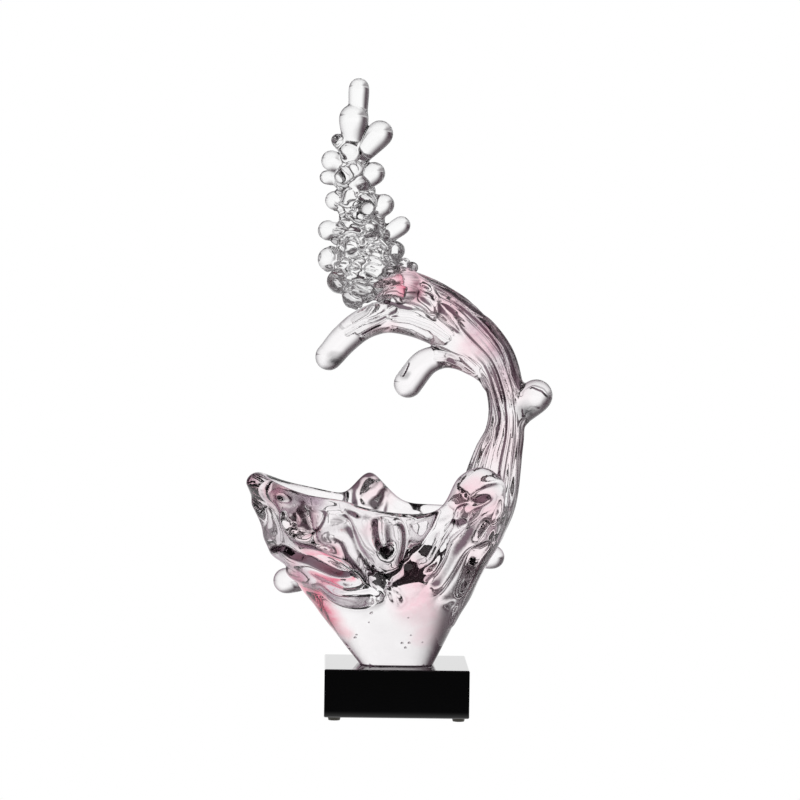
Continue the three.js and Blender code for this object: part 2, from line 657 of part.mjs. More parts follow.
function sprayDropSolid(drop, grow) {
  const away = new THREE.Vector3(Math.cos(radians(drop.azimuth)), Math.sin(radians(drop.azimuth)), 0);
  const bulb = corePoint(drop.height).addScaledVector(away, drop.out);
  return dropSolid(corePoint(drop.root), bulb, drop.radius, drop.tail ?? DROP_TAIL, grow);
}

function knobSolid(grow) {
  const root = stemPoint(KNOB_LEAVES);
  const way = new THREE.Vector3(Math.cos(radians(KNOB_LIFT)), 0, Math.sin(radians(KNOB_LIFT)));
  const bulb = root.clone().addScaledVector(way, KNOB_REACH);
  return dropSolid(root, bulb, KNOB_RADIUS, KNOB_TAIL, grow);
}

function bowlDropSolid(drop, grow) {
  const root = wallPoint(drop.azimuth, drop.height, BOWL_WALL);
  const bulb = wallPoint(drop.azimuth, drop.height, -drop.outward);
  bulb.z += drop.lift;
  return dropSolid(root, bulb, drop.radius, DROP_TAIL, grow);
}

// Plinth

function plinthGeometry() {
  const x = PLINTH_WIDTH / 2 - PLINTH_BEVEL;
  const y = PLINTH_DEPTH / 2 - PLINTH_BEVEL;
  const outline = new THREE.Shape([
    new THREE.Vector2(-x, -y),
    new THREE.Vector2(x, -y),
    new THREE.Vector2(x, y),
    new THREE.Vector2(-x, y),
  ]);
  return new THREE.ExtrudeGeometry(outline, {
    depth: PLINTH_HEIGHT - 2 * PLINTH_BEVEL,
    bevelThickness: PLINTH_BEVEL,
    bevelSize: PLINTH_BEVEL,
    bevelSegments: 1,
  });
}

function footGeometry() {
  return new THREE.CylinderGeometry(FOOT_DIAMETER / 2, FOOT_TIP_DIAMETER / 2, FOOT_HEIGHT, FOOT_SIDES);
}

function glueGeometry() {
  const outline = new THREE.Shape();
  const x = BOWL_SEAT_WIDTH / 2 - GLUE_MARGIN;
  const y = BOWL_SEAT_DEPTH / 2 - GLUE_MARGIN;
  outline.absellipse(0, 0, x, y, 0, 2 * Math.PI, false, 0);
  return new THREE.ExtrudeGeometry(outline, {
    depth: GLUE_THICKNESS,
    curveSegments: GLUE_SIDES,
    bevelEnabled: false,
  });
}

// Assembly

const sculpture = new THREE.Group();
sculpture.name = "glass_wave_sculpture";

function addMesh(parent, name, geometry, finish) {
  const mesh = new THREE.Mesh(geometry, new THREE.MeshStandardMaterial(finish));
  mesh.name = name;
  parent.add(mesh);
  return mesh;
}

const plinthMesh = addMesh(sculpture, "plinth", plinthGeometry(), BLACK_CRYSTAL);
plinthMesh.position.z = FOOT_HEIGHT + PLINTH_BEVEL;

for (const [end, alongX] of [["left", -1], ["right", 1]]) {
  for (const [side, alongY] of [["front", -1], ["back", 1]]) {
    const foot = addMesh(sculpture, `foot_${side}_${end}`, footGeometry(), AMBER_RUBBER);
    foot.rotation.x = Math.PI / 2;
    foot.position.x = alongX * (PLINTH_WIDTH / 2 - FOOT_INSET);
    foot.position.y = alongY * (PLINTH_DEPTH / 2 - FOOT_INSET);
    foot.position.z = FOOT_HEIGHT / 2;
  }
}

const glueMesh = addMesh(sculpture, "glue_film", glueGeometry(), CLEAR_GLUE);
glueMesh.position.z = FOOT_HEIGHT + PLINTH_HEIGHT;

const glass = new THREE.Group();
glass.position.z = FOOT_HEIGHT + PLINTH_HEIGHT + GLUE_THICKNESS;
sculpture.add(glass);

const addGlass = (name, solid, finish) => addMesh(glass, name, geometryOf(solid), finish);

const swollenStem = stemSolid(FUSED_GAP);
const swollenBowl = bowlSolid(FUSED_GAP);
addGlass("wave_bowl", cutAway(bowlSolid(0), [swollenStem]), ROSE_GLASS);
addGlass("wave_stem", stemSolid(0), ROSE_GLASS);

const dripForm = [DRIP_SIDES, DRIP_STEPS, smooth];
const longDripRoute = routeFrom(stemPoint(LONG_DRIP_LEAVES), LONG_DRIP);
const shortDripRoute = routeFrom(stemPoint(SHORT_DRIP_LEAVES), SHORT_DRIP);
const swollenLongDrip = tubeSolid(longDripRoute, ...dripForm, FUSED_GAP);
addGlass("long_drip", cutAway(tubeSolid(longDripRoute, ...dripForm, 0), [swollenStem]), CLEAR_GLASS);
addGlass(
  "short_drip",
  cutAway(tubeSolid(shortDripRoute, ...dripForm, 0), [swollenStem, swollenLongDrip]),
  CLEAR_GLASS,
);
addGlass("stem_knob", cutAway(knobSolid(0), [swollenStem]), CLEAR_GLASS);

for (const drop of BOWL_DROPS) {
  addGlass(drop.name, cutAway(bowlDropSolid(drop, 0), [swollenBowl, swollenStem]), CLEAR_GLASS);
}

addGlass("spray_core", cutAway(coreSolid(0), [swollenStem, swollenLongDrip]), CLEAR_GLASS);
const sprayNeighbours = [swollenStem, swollenLongDrip, coreSolid(FUSED_GAP)];
SPRAY_DROPS.forEach((drop, place) => {
  const number = String(place + 1).padStart(2, "0");
  addGlass(`spray_drop_${number}`, cutAway(sprayDropSolid(drop, 0), sprayNeighbours), CLEAR_GLASS);
  sprayNeighbours.push(sprayDropSolid(drop, FUSED_GAP));
});

// The origin is the centre of the bottom of the whole sculpture's box.
const box = new THREE.Box3().setFromObject(sculpture, true);
const middle = box.getCenter(new THREE.Vector3());
sculpture.children.forEach((child) => {
  child.position.x -= middle.x;
  child.position.y -= middle.y;
});

export default sculpture;
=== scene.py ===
"""A breaking wave in hot-worked glass on a black crystal plinth, dressed for the render.

Each glass bit is first a closed mesh of its own, in millimetres above its seat. The bits become distance
fields, the fields are fused with soft fillets, and each fused field becomes one smooth glass skin.
"""

import math

import bmesh
import bpy
import numpy as np
import openvdb
from mathutils import Matrix, Vector

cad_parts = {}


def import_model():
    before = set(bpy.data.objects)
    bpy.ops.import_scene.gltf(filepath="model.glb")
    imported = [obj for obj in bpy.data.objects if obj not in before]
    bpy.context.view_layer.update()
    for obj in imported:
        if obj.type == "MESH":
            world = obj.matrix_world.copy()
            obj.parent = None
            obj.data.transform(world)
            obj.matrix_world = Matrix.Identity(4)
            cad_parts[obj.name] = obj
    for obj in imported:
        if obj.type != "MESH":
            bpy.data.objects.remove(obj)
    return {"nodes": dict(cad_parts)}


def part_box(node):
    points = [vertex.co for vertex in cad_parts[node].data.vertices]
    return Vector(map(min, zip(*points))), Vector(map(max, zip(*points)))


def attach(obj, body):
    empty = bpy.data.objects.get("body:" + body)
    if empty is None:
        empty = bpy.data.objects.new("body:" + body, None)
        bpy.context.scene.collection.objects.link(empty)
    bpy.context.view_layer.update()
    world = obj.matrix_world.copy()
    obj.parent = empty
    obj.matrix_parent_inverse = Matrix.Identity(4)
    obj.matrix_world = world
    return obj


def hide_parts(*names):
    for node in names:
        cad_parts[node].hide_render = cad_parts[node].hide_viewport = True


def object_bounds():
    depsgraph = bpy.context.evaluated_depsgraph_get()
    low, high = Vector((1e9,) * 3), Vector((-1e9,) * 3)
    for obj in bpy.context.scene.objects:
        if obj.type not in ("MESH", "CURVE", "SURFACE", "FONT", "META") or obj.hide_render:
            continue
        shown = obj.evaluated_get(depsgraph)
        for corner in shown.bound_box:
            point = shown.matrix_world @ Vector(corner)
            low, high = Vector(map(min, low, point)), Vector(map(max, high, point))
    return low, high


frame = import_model()
cad_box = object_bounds()

MM = 0.001

# Places that the frame gives, in metres

plinth_low, plinth_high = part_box("plinth")
PLINTH_MIDDLE = (plinth_low + plinth_high) / 2
SEAT = Vector((PLINTH_MIDDLE.x, PLINTH_MIDDLE.y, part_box("glue_film")[1].z))

# Bowl, in millimetres and degrees, as heights above its seat

SEAT_WIDTH = 62
SEAT_DEPTH = 54
BELLY_WIDTH = 188
BELLY_DEPTH = 126
BELLY_HEIGHT = 107
BELLY_SHIFT = -15
WALL_TURN = 0.88
SEAT_SQUARENESS = 4
RIM_HEIGHT = 129
WALL = 10
FLOOR_HEIGHT = 54
FLOOR_SHIFT = -26
CAVITY_ROUND = 0.5
CAVITY_SLANT = 3.0
CAVITY_SLANT_AZIMUTH = -5
CAVITY_SLANT_SPREAD = 75
FLARE_HEIGHT = 24

# Waves of the rim: azimuth and spread, and how far each one rises, reaches out and thickens the wall
RISE, REACH, BEAD = 2, 3, 4
RIM_WAVES = [
    (200, 38, 16, 0, 0),
    (180, 12, 11, 20, 9),
    (150, 25, 9, 0, 0),
    (99, 11, 24, 2, 10),
    (80, 9, 6, 0, 2),
    (-21, 12, 38, 20, 22),
]

# Folds up the wall: azimuths at the foot and at the rim, width, and depth, less than nothing for a ridge
WALL_FOLDS = [
    (-84, -115, 8, 8),
    (-118, -134, 8, -4),
    (-60, -72, 9, -4),
    (70, 72, 11, 6),
    (140, 128, 10, 5),
]
BOSS_AZIMUTH = -143
BOSS_HEIGHT = 117
BOSS_RADIUS = 13
BOSS_PROUD = 6
FOLDS_START_HEIGHT = 38
FOLDS_FULL_HEIGHT = 86

# Ridges on the bowl's outer wall, or valleys where they are raised by less than nothing, as rows of
# (width, raised, stops), with each stop at (azimuth, height).
WALL_MARKS = [
    (5, 9, [(-154, 136), (-148, 143), (-140, 143), (-131, 141), (-124, 138)]),
    (3.4, 6.5, [(-125, 139), (-125, 128), (-128, 114), (-136, 107), (-145, 109), (-151, 118), (-152, 132)]),
    (3, 4.5, [(-146, 126), (-142, 130), (-138, 124), (-140, 115), (-145, 117)]),
    (4.2, 7.5, [(-125, 116), (-116, 108), (-112, 94), (-103, 80), (-93, 68)]),
    (4, -7.5, [(-121, 128), (-111, 114), (-99, 92), (-92, 73), (-85, 53)]),
    (3.6, 7.5, [(-122, 138), (-113, 124), (-104, 104), (-96, 85), (-88, 66), (-80, 50)]),
    (5, -5.5, [(-172, 136), (-165, 129), (-162, 118), (-160, 107), (-169, 93)]),
    (4.6, 5, [(-184, 134), (-177, 121), (-178, 102), (-178, 86)]),
    (4.2, 7.5, [(-176, 88), (-162, 94), (-155, 88), (-147, 84), (-136, 80), (-126, 76), (-112, 72)]),
    (3.6, -6.5, [(-158, 105), (-148, 98), (-138, 96), (-130, 90), (-120, 80)]),
    (4.4, 8.5, [(-168, 78), (-149, 73), (-137, 70), (-128, 60), (-112, 59), (-93, 62)]),
    (5, 7, [(-99, 132), (-99, 115), (-95, 98), (-87, 92), (-80, 103), (-79, 124)]),
    (4.6, -6.5, [(-91, 126), (-90, 113), (-87, 102)]),
    (4, 5, [(-112, 131), (-107, 116), (-102, 101)]),
    (4.4, -5.5, [(-74, 126), (-72, 109), (-73, 88)]),
    (3.6, 7, [(-55, 77), (-48, 93), (-43, 108), (-36, 118), (-33, 126)]),
    (3.8, -7, [(-53, 70), (-44, 88), (-38, 103), (-31, 114), (-27, 124)]),
    (3.4, 6.5, [(-49, 62), (-41, 82), (-35, 96), (-27, 110), (-20, 124)]),
    (3.8, -5.5, [(-44, 56), (-36, 74), (-29, 92), (-19, 106)]),
    (3.4, 5, [(-40, 52), (-31, 70), (-24, 90), (-15, 104)]),
    (3.4, 5.5, [(-61, 90), (-55, 104), (-49, 120), (-45, 134)]),
    (3, -5.5, [(-27, 150), (-30, 144), (-34, 141), (-37, 133), (-38, 122)]),
    (2.8, 6.5, [(-31, 155), (-37, 148), (-36, 141), (-31, 138), (-25, 143)]),
    (3, 5.5, [(-45, 135), (-38, 148), (-30, 158), (-22, 156), (-17, 142), (-16, 121)]),
    (4, 5.5, [(60, 130), (64, 108), (58, 84), (50, 60)]),
    (4, -6.5, [(86, 138), (92, 112), (84, 86), (76, 62)]),
    (3.6, 6.5, [(104, 146), (112, 126), (120, 108), (138, 90)]),
    (3.4, -5.5, [(96, 150), (101, 142), (106, 132), (98, 122), (90, 130)]),
    (3.8, 5.5, [(150, 128), (142, 112), (146, 100), (156, 104), (156, 116), (150, 128)]),
    (4, -5.5, [(22, 126), (30, 104), (38, 80), (40, 58)]),
]
MARK_FADE = 0.12
MARK_LIMIT = 7

# Slow lens-like swellings of the bowl's two faces: seed, height, most waves round and millimetres to a wave
OUTER_SWELLING = (3, 1.0, 8, 20)
INNER_SWELLING = (8, 1.8, 7, 24)
BOWL_MAP_TOP = 180

# Stem in the wall: azimuth, height, depth under the wall's face, and radii across and deep

STEM_ROOT = [
    (-24, 34, 3, 3.5, 6), (-21, 56, 4, 7, 14), (-15, 80, 7, 12, 22), (-8, 106, 10, 18, 27),
]
STEM_LEAVES_HEIGHT = 136
STEM_LEAVES_INSET = 8.5
STEM_LEAVES_ACROSS = 23.5
STEM_LEAVES_DEEP = 25

# Stem above the bowl: x, y, z from where it leaves the bowl, and radii across and deep
STEM_ARCH = [
    (8, 3, 37, 20, 18), (13.5, 4, 57, 16, 15.5), (14.6, 4, 76, 14.2, 14), (11, 3, 98, 14, 14),
    (3.2, 1, 120, 14.5, 14), (-13, 0, 140, 15.5, 14.5), (-31, 0, 157.5, 15, 14.5),
    (-51, 0, 170, 14.5, 14), (-72, 0, 178.5, 14.5, 14), (-88, 0, 184, 15, 15),
]

# Twisted strands all along the stem, and finer ones on the front of the arch
STRANDS = 15
STRAND_DEPTH = 2.3
STRAND_TIP_SHARE = 0.8
BROAD_DEPTH = 0.6
STRAND_TWIST = 70
FINE_STRANDS = 31
FINE_DEPTH = 0.3
FINE_MIDDLE = 318
FINE_SPREAD = 34

# Ridges and valleys on the stem, as on the bowl, with each stop at (degrees round, along). The outside of
# the arch is at 0 and its front at 270.
STEM_MARKS = [
    (2.6, 3.6, [(214, 348), (202, 330), (200, 312), (222, 296)]),
    (2.2, 3.4, [(228, 334), (246, 322), (244, 310), (222, 296)]),
    (2.2, 3.4, [(228, 334), (184, 324), (184, 312), (222, 296)]),
    (2.2, 3.2, [(278, 328), (304, 320), (288, 308), (262, 302), (240, 296)]),
    (3.0, -4.0, [(270, 304), (248, 282), (234, 266), (242, 242), (252, 218), (258, 196), (266, 170)]),
    (2.6, 3.4, [(296, 306), (284, 286), (268, 262), (268, 236), (274, 212), (278, 190), (286, 166)]),
    (2.4, -3.0, [(310, 312), (292, 290), (302, 264), (306, 244), (312, 226), (326, 206)]),
    (2.4, 3.4, [(334, 268), (350, 248), (356, 232), (356, 216), (338, 200)]),
    (4.0, 3.0, [(182, 304), (204, 262), (220, 234), (238, 210), (242, 184)]),
    (2.4, -2.6, [(190, 240), (200, 210), (214, 180), (226, 150)]),
    (2.4, 2.6, [(266, 200), (274, 180), (280, 150), (276, 122)]),
    (2.2, -2.6, [(298, 200), (310, 180), (318, 152), (316, 116)]),
    (2.4, 2.6, [(230, 178), (248, 154), (248, 128)]),
    (2.4, -2.6, [(338, 342), (336, 316), (330, 290), (328, 268)]),
]

# Drips: x, y, z from where they leave the stem, and radius

DRIP_LEAVES = 92
LONG_DRIP = [
    (-7, 0, 1.5, 8), (-20, -1, 22.5, 11), (-37.5, -2, 39, 12.5), (-58.5, -3, 51.5, 13.5),
    (-79.5, -3, 59, 13.8), (-100.5, -3, 61, 13.6), (-119.5, -3, 54, 13), (-135, -3, 41, 12.4),
    (-146, -3, 28, 11.6), (-155, -3, 19, 11.3),
]
SHORT_DRIP = [
    (-12, -3, 13, 6.5), (-25, -4, 19.5, 7.5), (-39, -5, 26, 8.2), (-51.5, -6, 28, 9.4),
    (-66, -6, 23.5, 11.5), (-78, -6, 9, 12), (-87, -6, -4.5, 12),
]

# Ridges and valleys on the drips and the knob: width, how far raised, and stops of x and z
DRIP_MARKS = [
    (1.2, 1.6, [(-45.3, 276), (-33.6, 283.5), (-18.5, 289), (-5.5, 296)]),
    (1.4, -1.7, [(-34.8, 275.5), (-21.8, 283), (-13.5, 287.5), (-4.5, 293)]),
    (1.1, 1.4, [(-39.5, 286), (-28.8, 293), (-24, 300)]),
    (1.3, 0.8, [(-30, 275), (-21.8, 279.5), (-7.7, 283), (9, 280), (22.4, 273)]),
    (1.3, -1.4, [(-2.9, 296.5), (13.7, 295.9), (32.1, 289.5), (47.3, 278.9)]),
    (1.2, 1.6, [(-11, 289.7), (7.2, 288.3), (23.9, 282.7), (39.1, 273)]),
    (1.0, 1.7, [(1.5, 241.7), (3.5, 245), (6, 251)]),
    (1.2, 1.4, [(29.3, 256.2), (41, 257.2), (51, 252.3), (61.2, 244.1)]),
    (1.2, -1.4, [(32.5, 262.9), (42.6, 260.5), (54.3, 257.3), (66.1, 249.2)]),
    (1.2, -1.3, [(37.7, 253), (47.8, 248.9), (57.9, 242.4), (66.3, 233.3)]),
    (1.1, 2.2, [(103, 208), (106, 205), (109, 207), (112, 203)]),
    (1.1, -2.2, [(106, 210), (109, 211.5), (112, 209), (115, 210)]),
    (1.1, 2.2, [(108, 201), (111, 199), (114, 201), (117, 199.5)]),
    (1.5, 1.8, [(104.2, 212.2), (110, 215.6), (116.7, 214), (119.3, 208.2)]),
    (1.5, -3.0, [(105.2, 204.7), (111, 207.2), (116.9, 204), (119.5, 198.2)]),
    (1.3, 2.4, [(102.2, 230.5), (110.5, 233.9), (118.9, 230.7), (124.9, 224.1)]),
    (1.3, -2.4, [(121.6, 219.9), (125.8, 214.9), (124.3, 209.1)]),
]

# Their y, how far from there the marks start, and the x from which only the front has them
DRIP_MIDDLE = -3
DRIP_MARKS_START = (2, 7)
KNOB_STARTS = 95

# Tongues of pink glass drawn from the arch's end over the spray's foot: x, y, z above the seat, and radius
ARCH_TONGUES = [
    [(17, -6, 316, 7), (1, -21, 320.5, 6), (-13, -30, 319, 4.4), (-24, -33, 315.5, 2.4)],
    [(17, -6, 308, 7), (0, -22, 312, 6), (-12, -30, 310, 4.4), (-22, -32, 304, 2.4)],
    [(13, -5, 322, 6), (-3, -19, 328, 4.8), (-14, -28, 328.5, 2.6)],
]

# Knob on the stem's outer side
KNOB_LEAVES = 68
KNOB_RADIUS = 14.6
KNOB_REACH = 32.5
KNOB_TAIL = 0.85
KNOB_LIFT = 40

# Drops on the bowl: azimuth, height, radius, how far outside the wall, and lift
BOWL_DROPS = [
    (158, 64, 11.5, 18, 0),
    (15, 84, 10.5, 14, 3),
]

# Spray's core: x, y, z from the stem's end, and radius

CORE_AXIS = [
    (-14, 0, -18, 16), (-15, 0, 4, 26), (-18, 0, 24, 22.5), (-22, 0, 45, 17.5), (-26, 0, 66, 13),
    (-29.5, 0, 87, 10.5), (-28, 0, 108, 7), (-25, 0, 130, 5),
]

# Spray's drops: heights of the root and of the bulb, azimuth, how far out, radius, and the tail's share of
# the radius where it isn't the usual one
SPRAY_DROPS = [
    (128, 159.5, 0, 0.5, 8.9, 0.85), (104, 134, 205, 4, 13), (94, 122, -12, 20, 11.7),
    (98, 116, 190, 15, 5.8), (90, 99, 168, 18, 9.2), (80, 85, 196, 22, 6.2), (84, 87, -118, 15, 8),
    (74, 89, -14, 19, 10), (72, 62, -62, 18, 8.6, 0.8), (58, 66, 158, 19, 8.4),
    (48, 63, -8, 23, 9.6), (38, 41, 170, 28, 9), (24, 46, 8, 35, 8.2, 0.75), (34, 39, -34, 24, 4.2),
    (14, 17, 188, 30, 11.2), (-2, -1, 206, 27, 11), (-4, -14, -136, 17, 10.5),
    (22, 25, -18, 27, 8.6), (10, 13, 6, 31, 7), (84, 92, 92, 18, 8.6), (58, 66, 66, 21, 9),
    (38, 46, 112, 25, 9.6), (20, 26, 62, 28, 9.2), (4, 10, 108, 30, 11), (100, 112, 76, 14, 7),
    (40, 44, -66, 21, 7.6), (22, 29, -112, 24, 8.4), (6, 8, -74, 27, 9.6),
    (4, 11, -4, 38, 5.2, 0.8),
]
DROP_TAIL = 0.45
DROP_SOFTNESS = 0.35

# Small beads all over the core, in a spiral, and fine bumps between them
BEADS = 44
BEADS_LOW = -14
BEADS_HIGH = 104
BEAD_SMALLEST = 4.0
BEAD_LARGEST = 8.5
BEAD_MIX = 2.4
BEAD_TURN = 137.508
BEAD_DEPTH = 0.9
BEAD_TAIL = 0.6
BEAD_SIDES = 24
CORE_BUMPS = 1.7
CORE_BUMP_WIDTHS = (9.0, 19.0)
CORE_BUMP_WAVES = 8
CORE_BUMP_SEED = 5

# Air bubbles caught in the bowl's foot: x, y, height and radius
BUBBLES = [
    (-21.8, -16, 47.3, 1.5), (-23, -16, 39, 0.8), (-32.4, -12, 26, 1.1), (-31.6, -12, 28.4, 0.9),
    (4.3, -16, 21, 1.3), (10.0, -15, 21.3, 1.3), (7.1, -15, 17, 1.2), (8.8, -18, 43.5, 0.8),
    (11.2, -14, 28, 0.8), (-58, -4, 52, 0.6), (-49, -8, 38, 0.7), (20, -10, 22, 0.7),
    (-10, -16, 60, 0.6),
]

# Where details fade: shares of the wall between its faces, millimetres on the bowl and the core, and shares
# of the stem's length

WALL_MIDDLE = (0.3, 0.7)
OUTSIDE_WALL = (8, 11)
OUTER_DETAIL = (40, 64)
INNER_DETAIL = (FLOOR_HEIGHT - 2, FLOOR_HEIGHT + 16)
UNDER_RIM = (10, 1)
STRANDS_START = (0.17, 0.36)
STRANDS_FADE_INSIDE = (0.62, 0.78)
FINE_START = (0.5, 0.6)
FINE_END = (0.92, 0.97)
BUMPS_OUTSIDE = (1.15, 1.5)
BUMPS_UNDER_TOP = 20

# Voxels, fillets and samples, in millimetres where they are lengths

WAVE_VOXEL = 0.9
SPRAY_VOXEL = 0.7
ADAPTIVITY = 0.02
FINE_STEP = 0.2
WAVE_REACH = 9
SPRAY_REACH = 5
STEM_NEAR = 48
STEM_NEAR_ROWS = 20
STEM_BLOCK = 20000
MAP_DEGREES = 0.25
MAP_MM = 0.4
MAP_STARTS = -5
BOWL_FILLET = 5
DRIP_FILLET = 3
SPRAY_FILLET = 2.0
BEAD_FILLET = 3.5
PARTING = 0.2
FAR = 12.0
SKIN_STEP = 0.4
BOX_GAP = 0.00002
JUST_OVER_ONE = 1.001
SWELLING_WAVES = 10
MARK_SAMPLES = 80
SPLINE_STEPS = 40
LINE_SAMPLES = 400
TUBE_SAMPLES = 600
STEM_SAMPLES = 200
ROD_STEP = 1.5
CAP_RINGS = 10
ROD_SIDES = 72
STEM_SIDES = 96
CORE_SIDES = 60
DROP_SIDES = 40
DROP_RINGS = 36
OUTLINE_STEPS = 60
BOWL_SIDES = 360
OUTER_RINGS = 100
INNER_RINGS = 90
RIM_RINGS = 20

# Curves and shapes in numpy


def smoothstep(x, low, high):
    """From 0 at low to 1 at high, with soft ends."""
    t = np.clip((x - low) / (high - low), 0, 1)
    return t * t * (3 - 2 * t)


def bell(distance, spread):
    """From 1 in the middle to nothing far away."""
    return np.exp(-0.5 * (distance / spread) ** 2)


def turn(start, end):
    """The shorter way round between two azimuths, in degrees."""
    return (end - start + 180) % 360 - 180


def rim_sum(azimuth, quantity):
    """One quantity of the rim's waves at an azimuth."""
    return sum(wave[quantity] * bell(turn(wave[0], azimuth), wave[1]) for wave in RIM_WAVES)


def rim_height(azimuth):
    return RIM_HEIGHT + rim_sum(azimuth, RISE)


def opening(height):
    """How far the wall has opened, from 0 at the seat to 1 at the belly."""
    share = np.clip(height / BELLY_HEIGHT, 0, 1)
    a = WALL_TURN
    along = (a - np.sqrt(a * a - (2 * a - 1) * share)) / (2 * a - 1)
    return along * (2 - along)


def relief(azimuth, height):
    """How far the folds and the boss stand out of the wall."""
    up = height / BELLY_HEIGHT
    fading = smoothstep(height, FOLDS_START_HEIGHT, FOLDS_FULL_HEIGHT)
    folds = 0
    for foot, rim, width, depth in WALL_FOLDS:
        middle = foot + (rim - foot) * up
        folds = folds - depth * fading * bell(turn(middle, azimuth), width)
    aside = np.radians(turn(BOSS_AZIMUTH, azimuth)) * BELLY_DEPTH / 2
    boss = BOSS_PROUD * bell(np.hypot(aside, height - BOSS_HEIGHT), BOSS_RADIUS)
    return folds + boss


class FaceMap:
    """How far a face stands out, in millimetres, over degrees round it and millimetres along it."""

    def __init__(self, length, radius):
        self.round = np.arange(0, 360, MAP_DEGREES)
        self.along = np.arange(MAP_STARTS, length, MAP_MM)
        self.radius = radius(self.along) + np.zeros(len(self.along))
        self.out = np.zeros((len(self.round), len(self.along)))

    def swell(self, seed, height, most_turns, length):
        """Adds a gentle waviness."""
        draw = np.random.default_rng(seed)
        angle, along = np.radians(self.round)[:, None], self.along[None, :]
        for _ in range(SWELLING_WAVES):
            phase = angle * draw.integers(2, most_turns + 1) + along * draw.normal(0, 1 / length)
            wave = np.sin(phase + draw.uniform(0, 2 * math.pi))
            self.out += height / math.sqrt(SWELLING_WAVES / 2) * wave

    def mark(self, width, raised, stops):
        """Adds a ridge along a route, or a valley."""
        route = spline(np.pad(np.array(stops, float), ((0, 0), (0, 1))), MARK_SAMPLES)[0][:, :2]
        share = np.linspace(0, 1, len(route))
        ends = smoothstep(share, 0, MARK_FADE) * (1 - smoothstep(share, 1 - MARK_FADE, 1))
        reach = 4 * width
        middle = route[:, 0].mean()
        near_along = (self.along > route[:, 1].min() - reach) & (self.along < route[:, 1].max() + reach)
        radius = self.radius[near_along]
        offset = turn(middle, self.round)
        near_round = np.abs(offset) < np.ptp(route[:, 0]) / 2 + np.degrees(reach / radius.min())
        offset, along = offset[near_round][:, None], self.along[near_along][None, :]
        best = 0
        for (degrees, height), strength in zip(route, ends):
            away = np.hypot(np.radians(offset - (degrees - middle)) * radius, along - height)
            best = np.maximum(best, strength * bell(away, width))
        self.out[np.ix_(near_round, near_along)] += raised * best

    def limit(self, most):
        """Flattens what stands out further than that, and valleys likewise."""
        self.out = most * np.tanh(self.out / most)

    def at(self, degrees, along):
        """How far the face stands out at any places."""
        a = np.mod(degrees, 360) / MAP_DEGREES
        h = np.clip((along - self.along[0]) / MAP_MM, 0, len(self.along) - JUST_OVER_ONE)
        low_a, low_h = np.floor(a).astype(int), np.floor(h).astype(int)
        a, h = a - low_a, h - low_h
        this, after = low_a % len(self.round), (low_a + 1) % len(self.round)
        low = self.out[this, low_h] * (1 - a) + self.out[after, low_h] * a
        high = self.out[this, low_h + 1] * (1 - a) + self.out[after, low_h + 1] * a
        return low * (1 - h) + high * h


def wall_reach(azimuth, height):
    """How far the wall's outer face is from the bowl's axis at that height."""
    open_ = opening(height)
    flare = smoothstep(height, RIM_HEIGHT - FLARE_HEIGHT, rim_height(azimuth))
    half_width = (SEAT_WIDTH + (BELLY_WIDTH - SEAT_WIDTH) * open_) / 2
    half_depth = (SEAT_DEPTH + (BELLY_DEPTH - SEAT_DEPTH) * open_) / 2
    c = np.abs(np.cos(np.radians(azimuth)))
    s = np.abs(np.sin(np.radians(azimuth)))
    power = SEAT_SQUARENESS + (2 - SEAT_SQUARENESS) * open_
    outline = ((c / half_width) ** power + (s / half_depth) ** power) ** (-1 / power)
    return outline + flare * rim_sum(azimuth, REACH) + relief(azimuth, height)


def wall_point(azimuth, height, depth=0.0):
    """A place on the wall's outer face, or at a depth under it."""
    azimuth, height, depth = np.broadcast_arrays(
        *(np.asarray(v, float) for v in (azimuth, height, depth))
    )
    reach = wall_reach(azimuth, height) - depth
    c, s = np.cos(np.radians(azimuth)), np.sin(np.radians(azimuth))
    return np.stack([opening(height) * BELLY_SHIFT + reach * c, reach * s, height], -1)


def loft(rings, first_pole, last_pole):
    """A closed skin over rings of equal length: (points, triangles, quads)."""
    rings = np.asarray(rings, float)
    count, sides, _ = rings.shape
    points = np.concatenate([[first_pole], rings.reshape(-1, 3), [last_pole]])
    side = np.arange(sides)
    after = (side + 1) % sides
    low = 1 + np.arange(count - 1)[:, None] * sides
    high = low + sides
    quads = np.stack([low + side, low + after, high + after, high + side], -1).reshape(-1, 4)
    last = len(points) - 1
    first_fan = np.stack([np.zeros_like(side), 1 + after, 1 + side], -1)
    last_fan = np.stack([np.full_like(side, last), last - sides + side, last - sides + after], -1)
    return points, np.concatenate([first_fan, last_fan]), quads


def mix(t, start, end, first, second):
    """Places on the line from the first at start to the second at end."""
    return (end - t) / (end - start) * first + (t - start) / (end - start) * second


def sampled(wanted, places, rows):
    """Rows that stand at some places, interpolated at the wanted ones."""
    return np.stack([np.interp(wanted, places, column) for column in rows.T], -1)


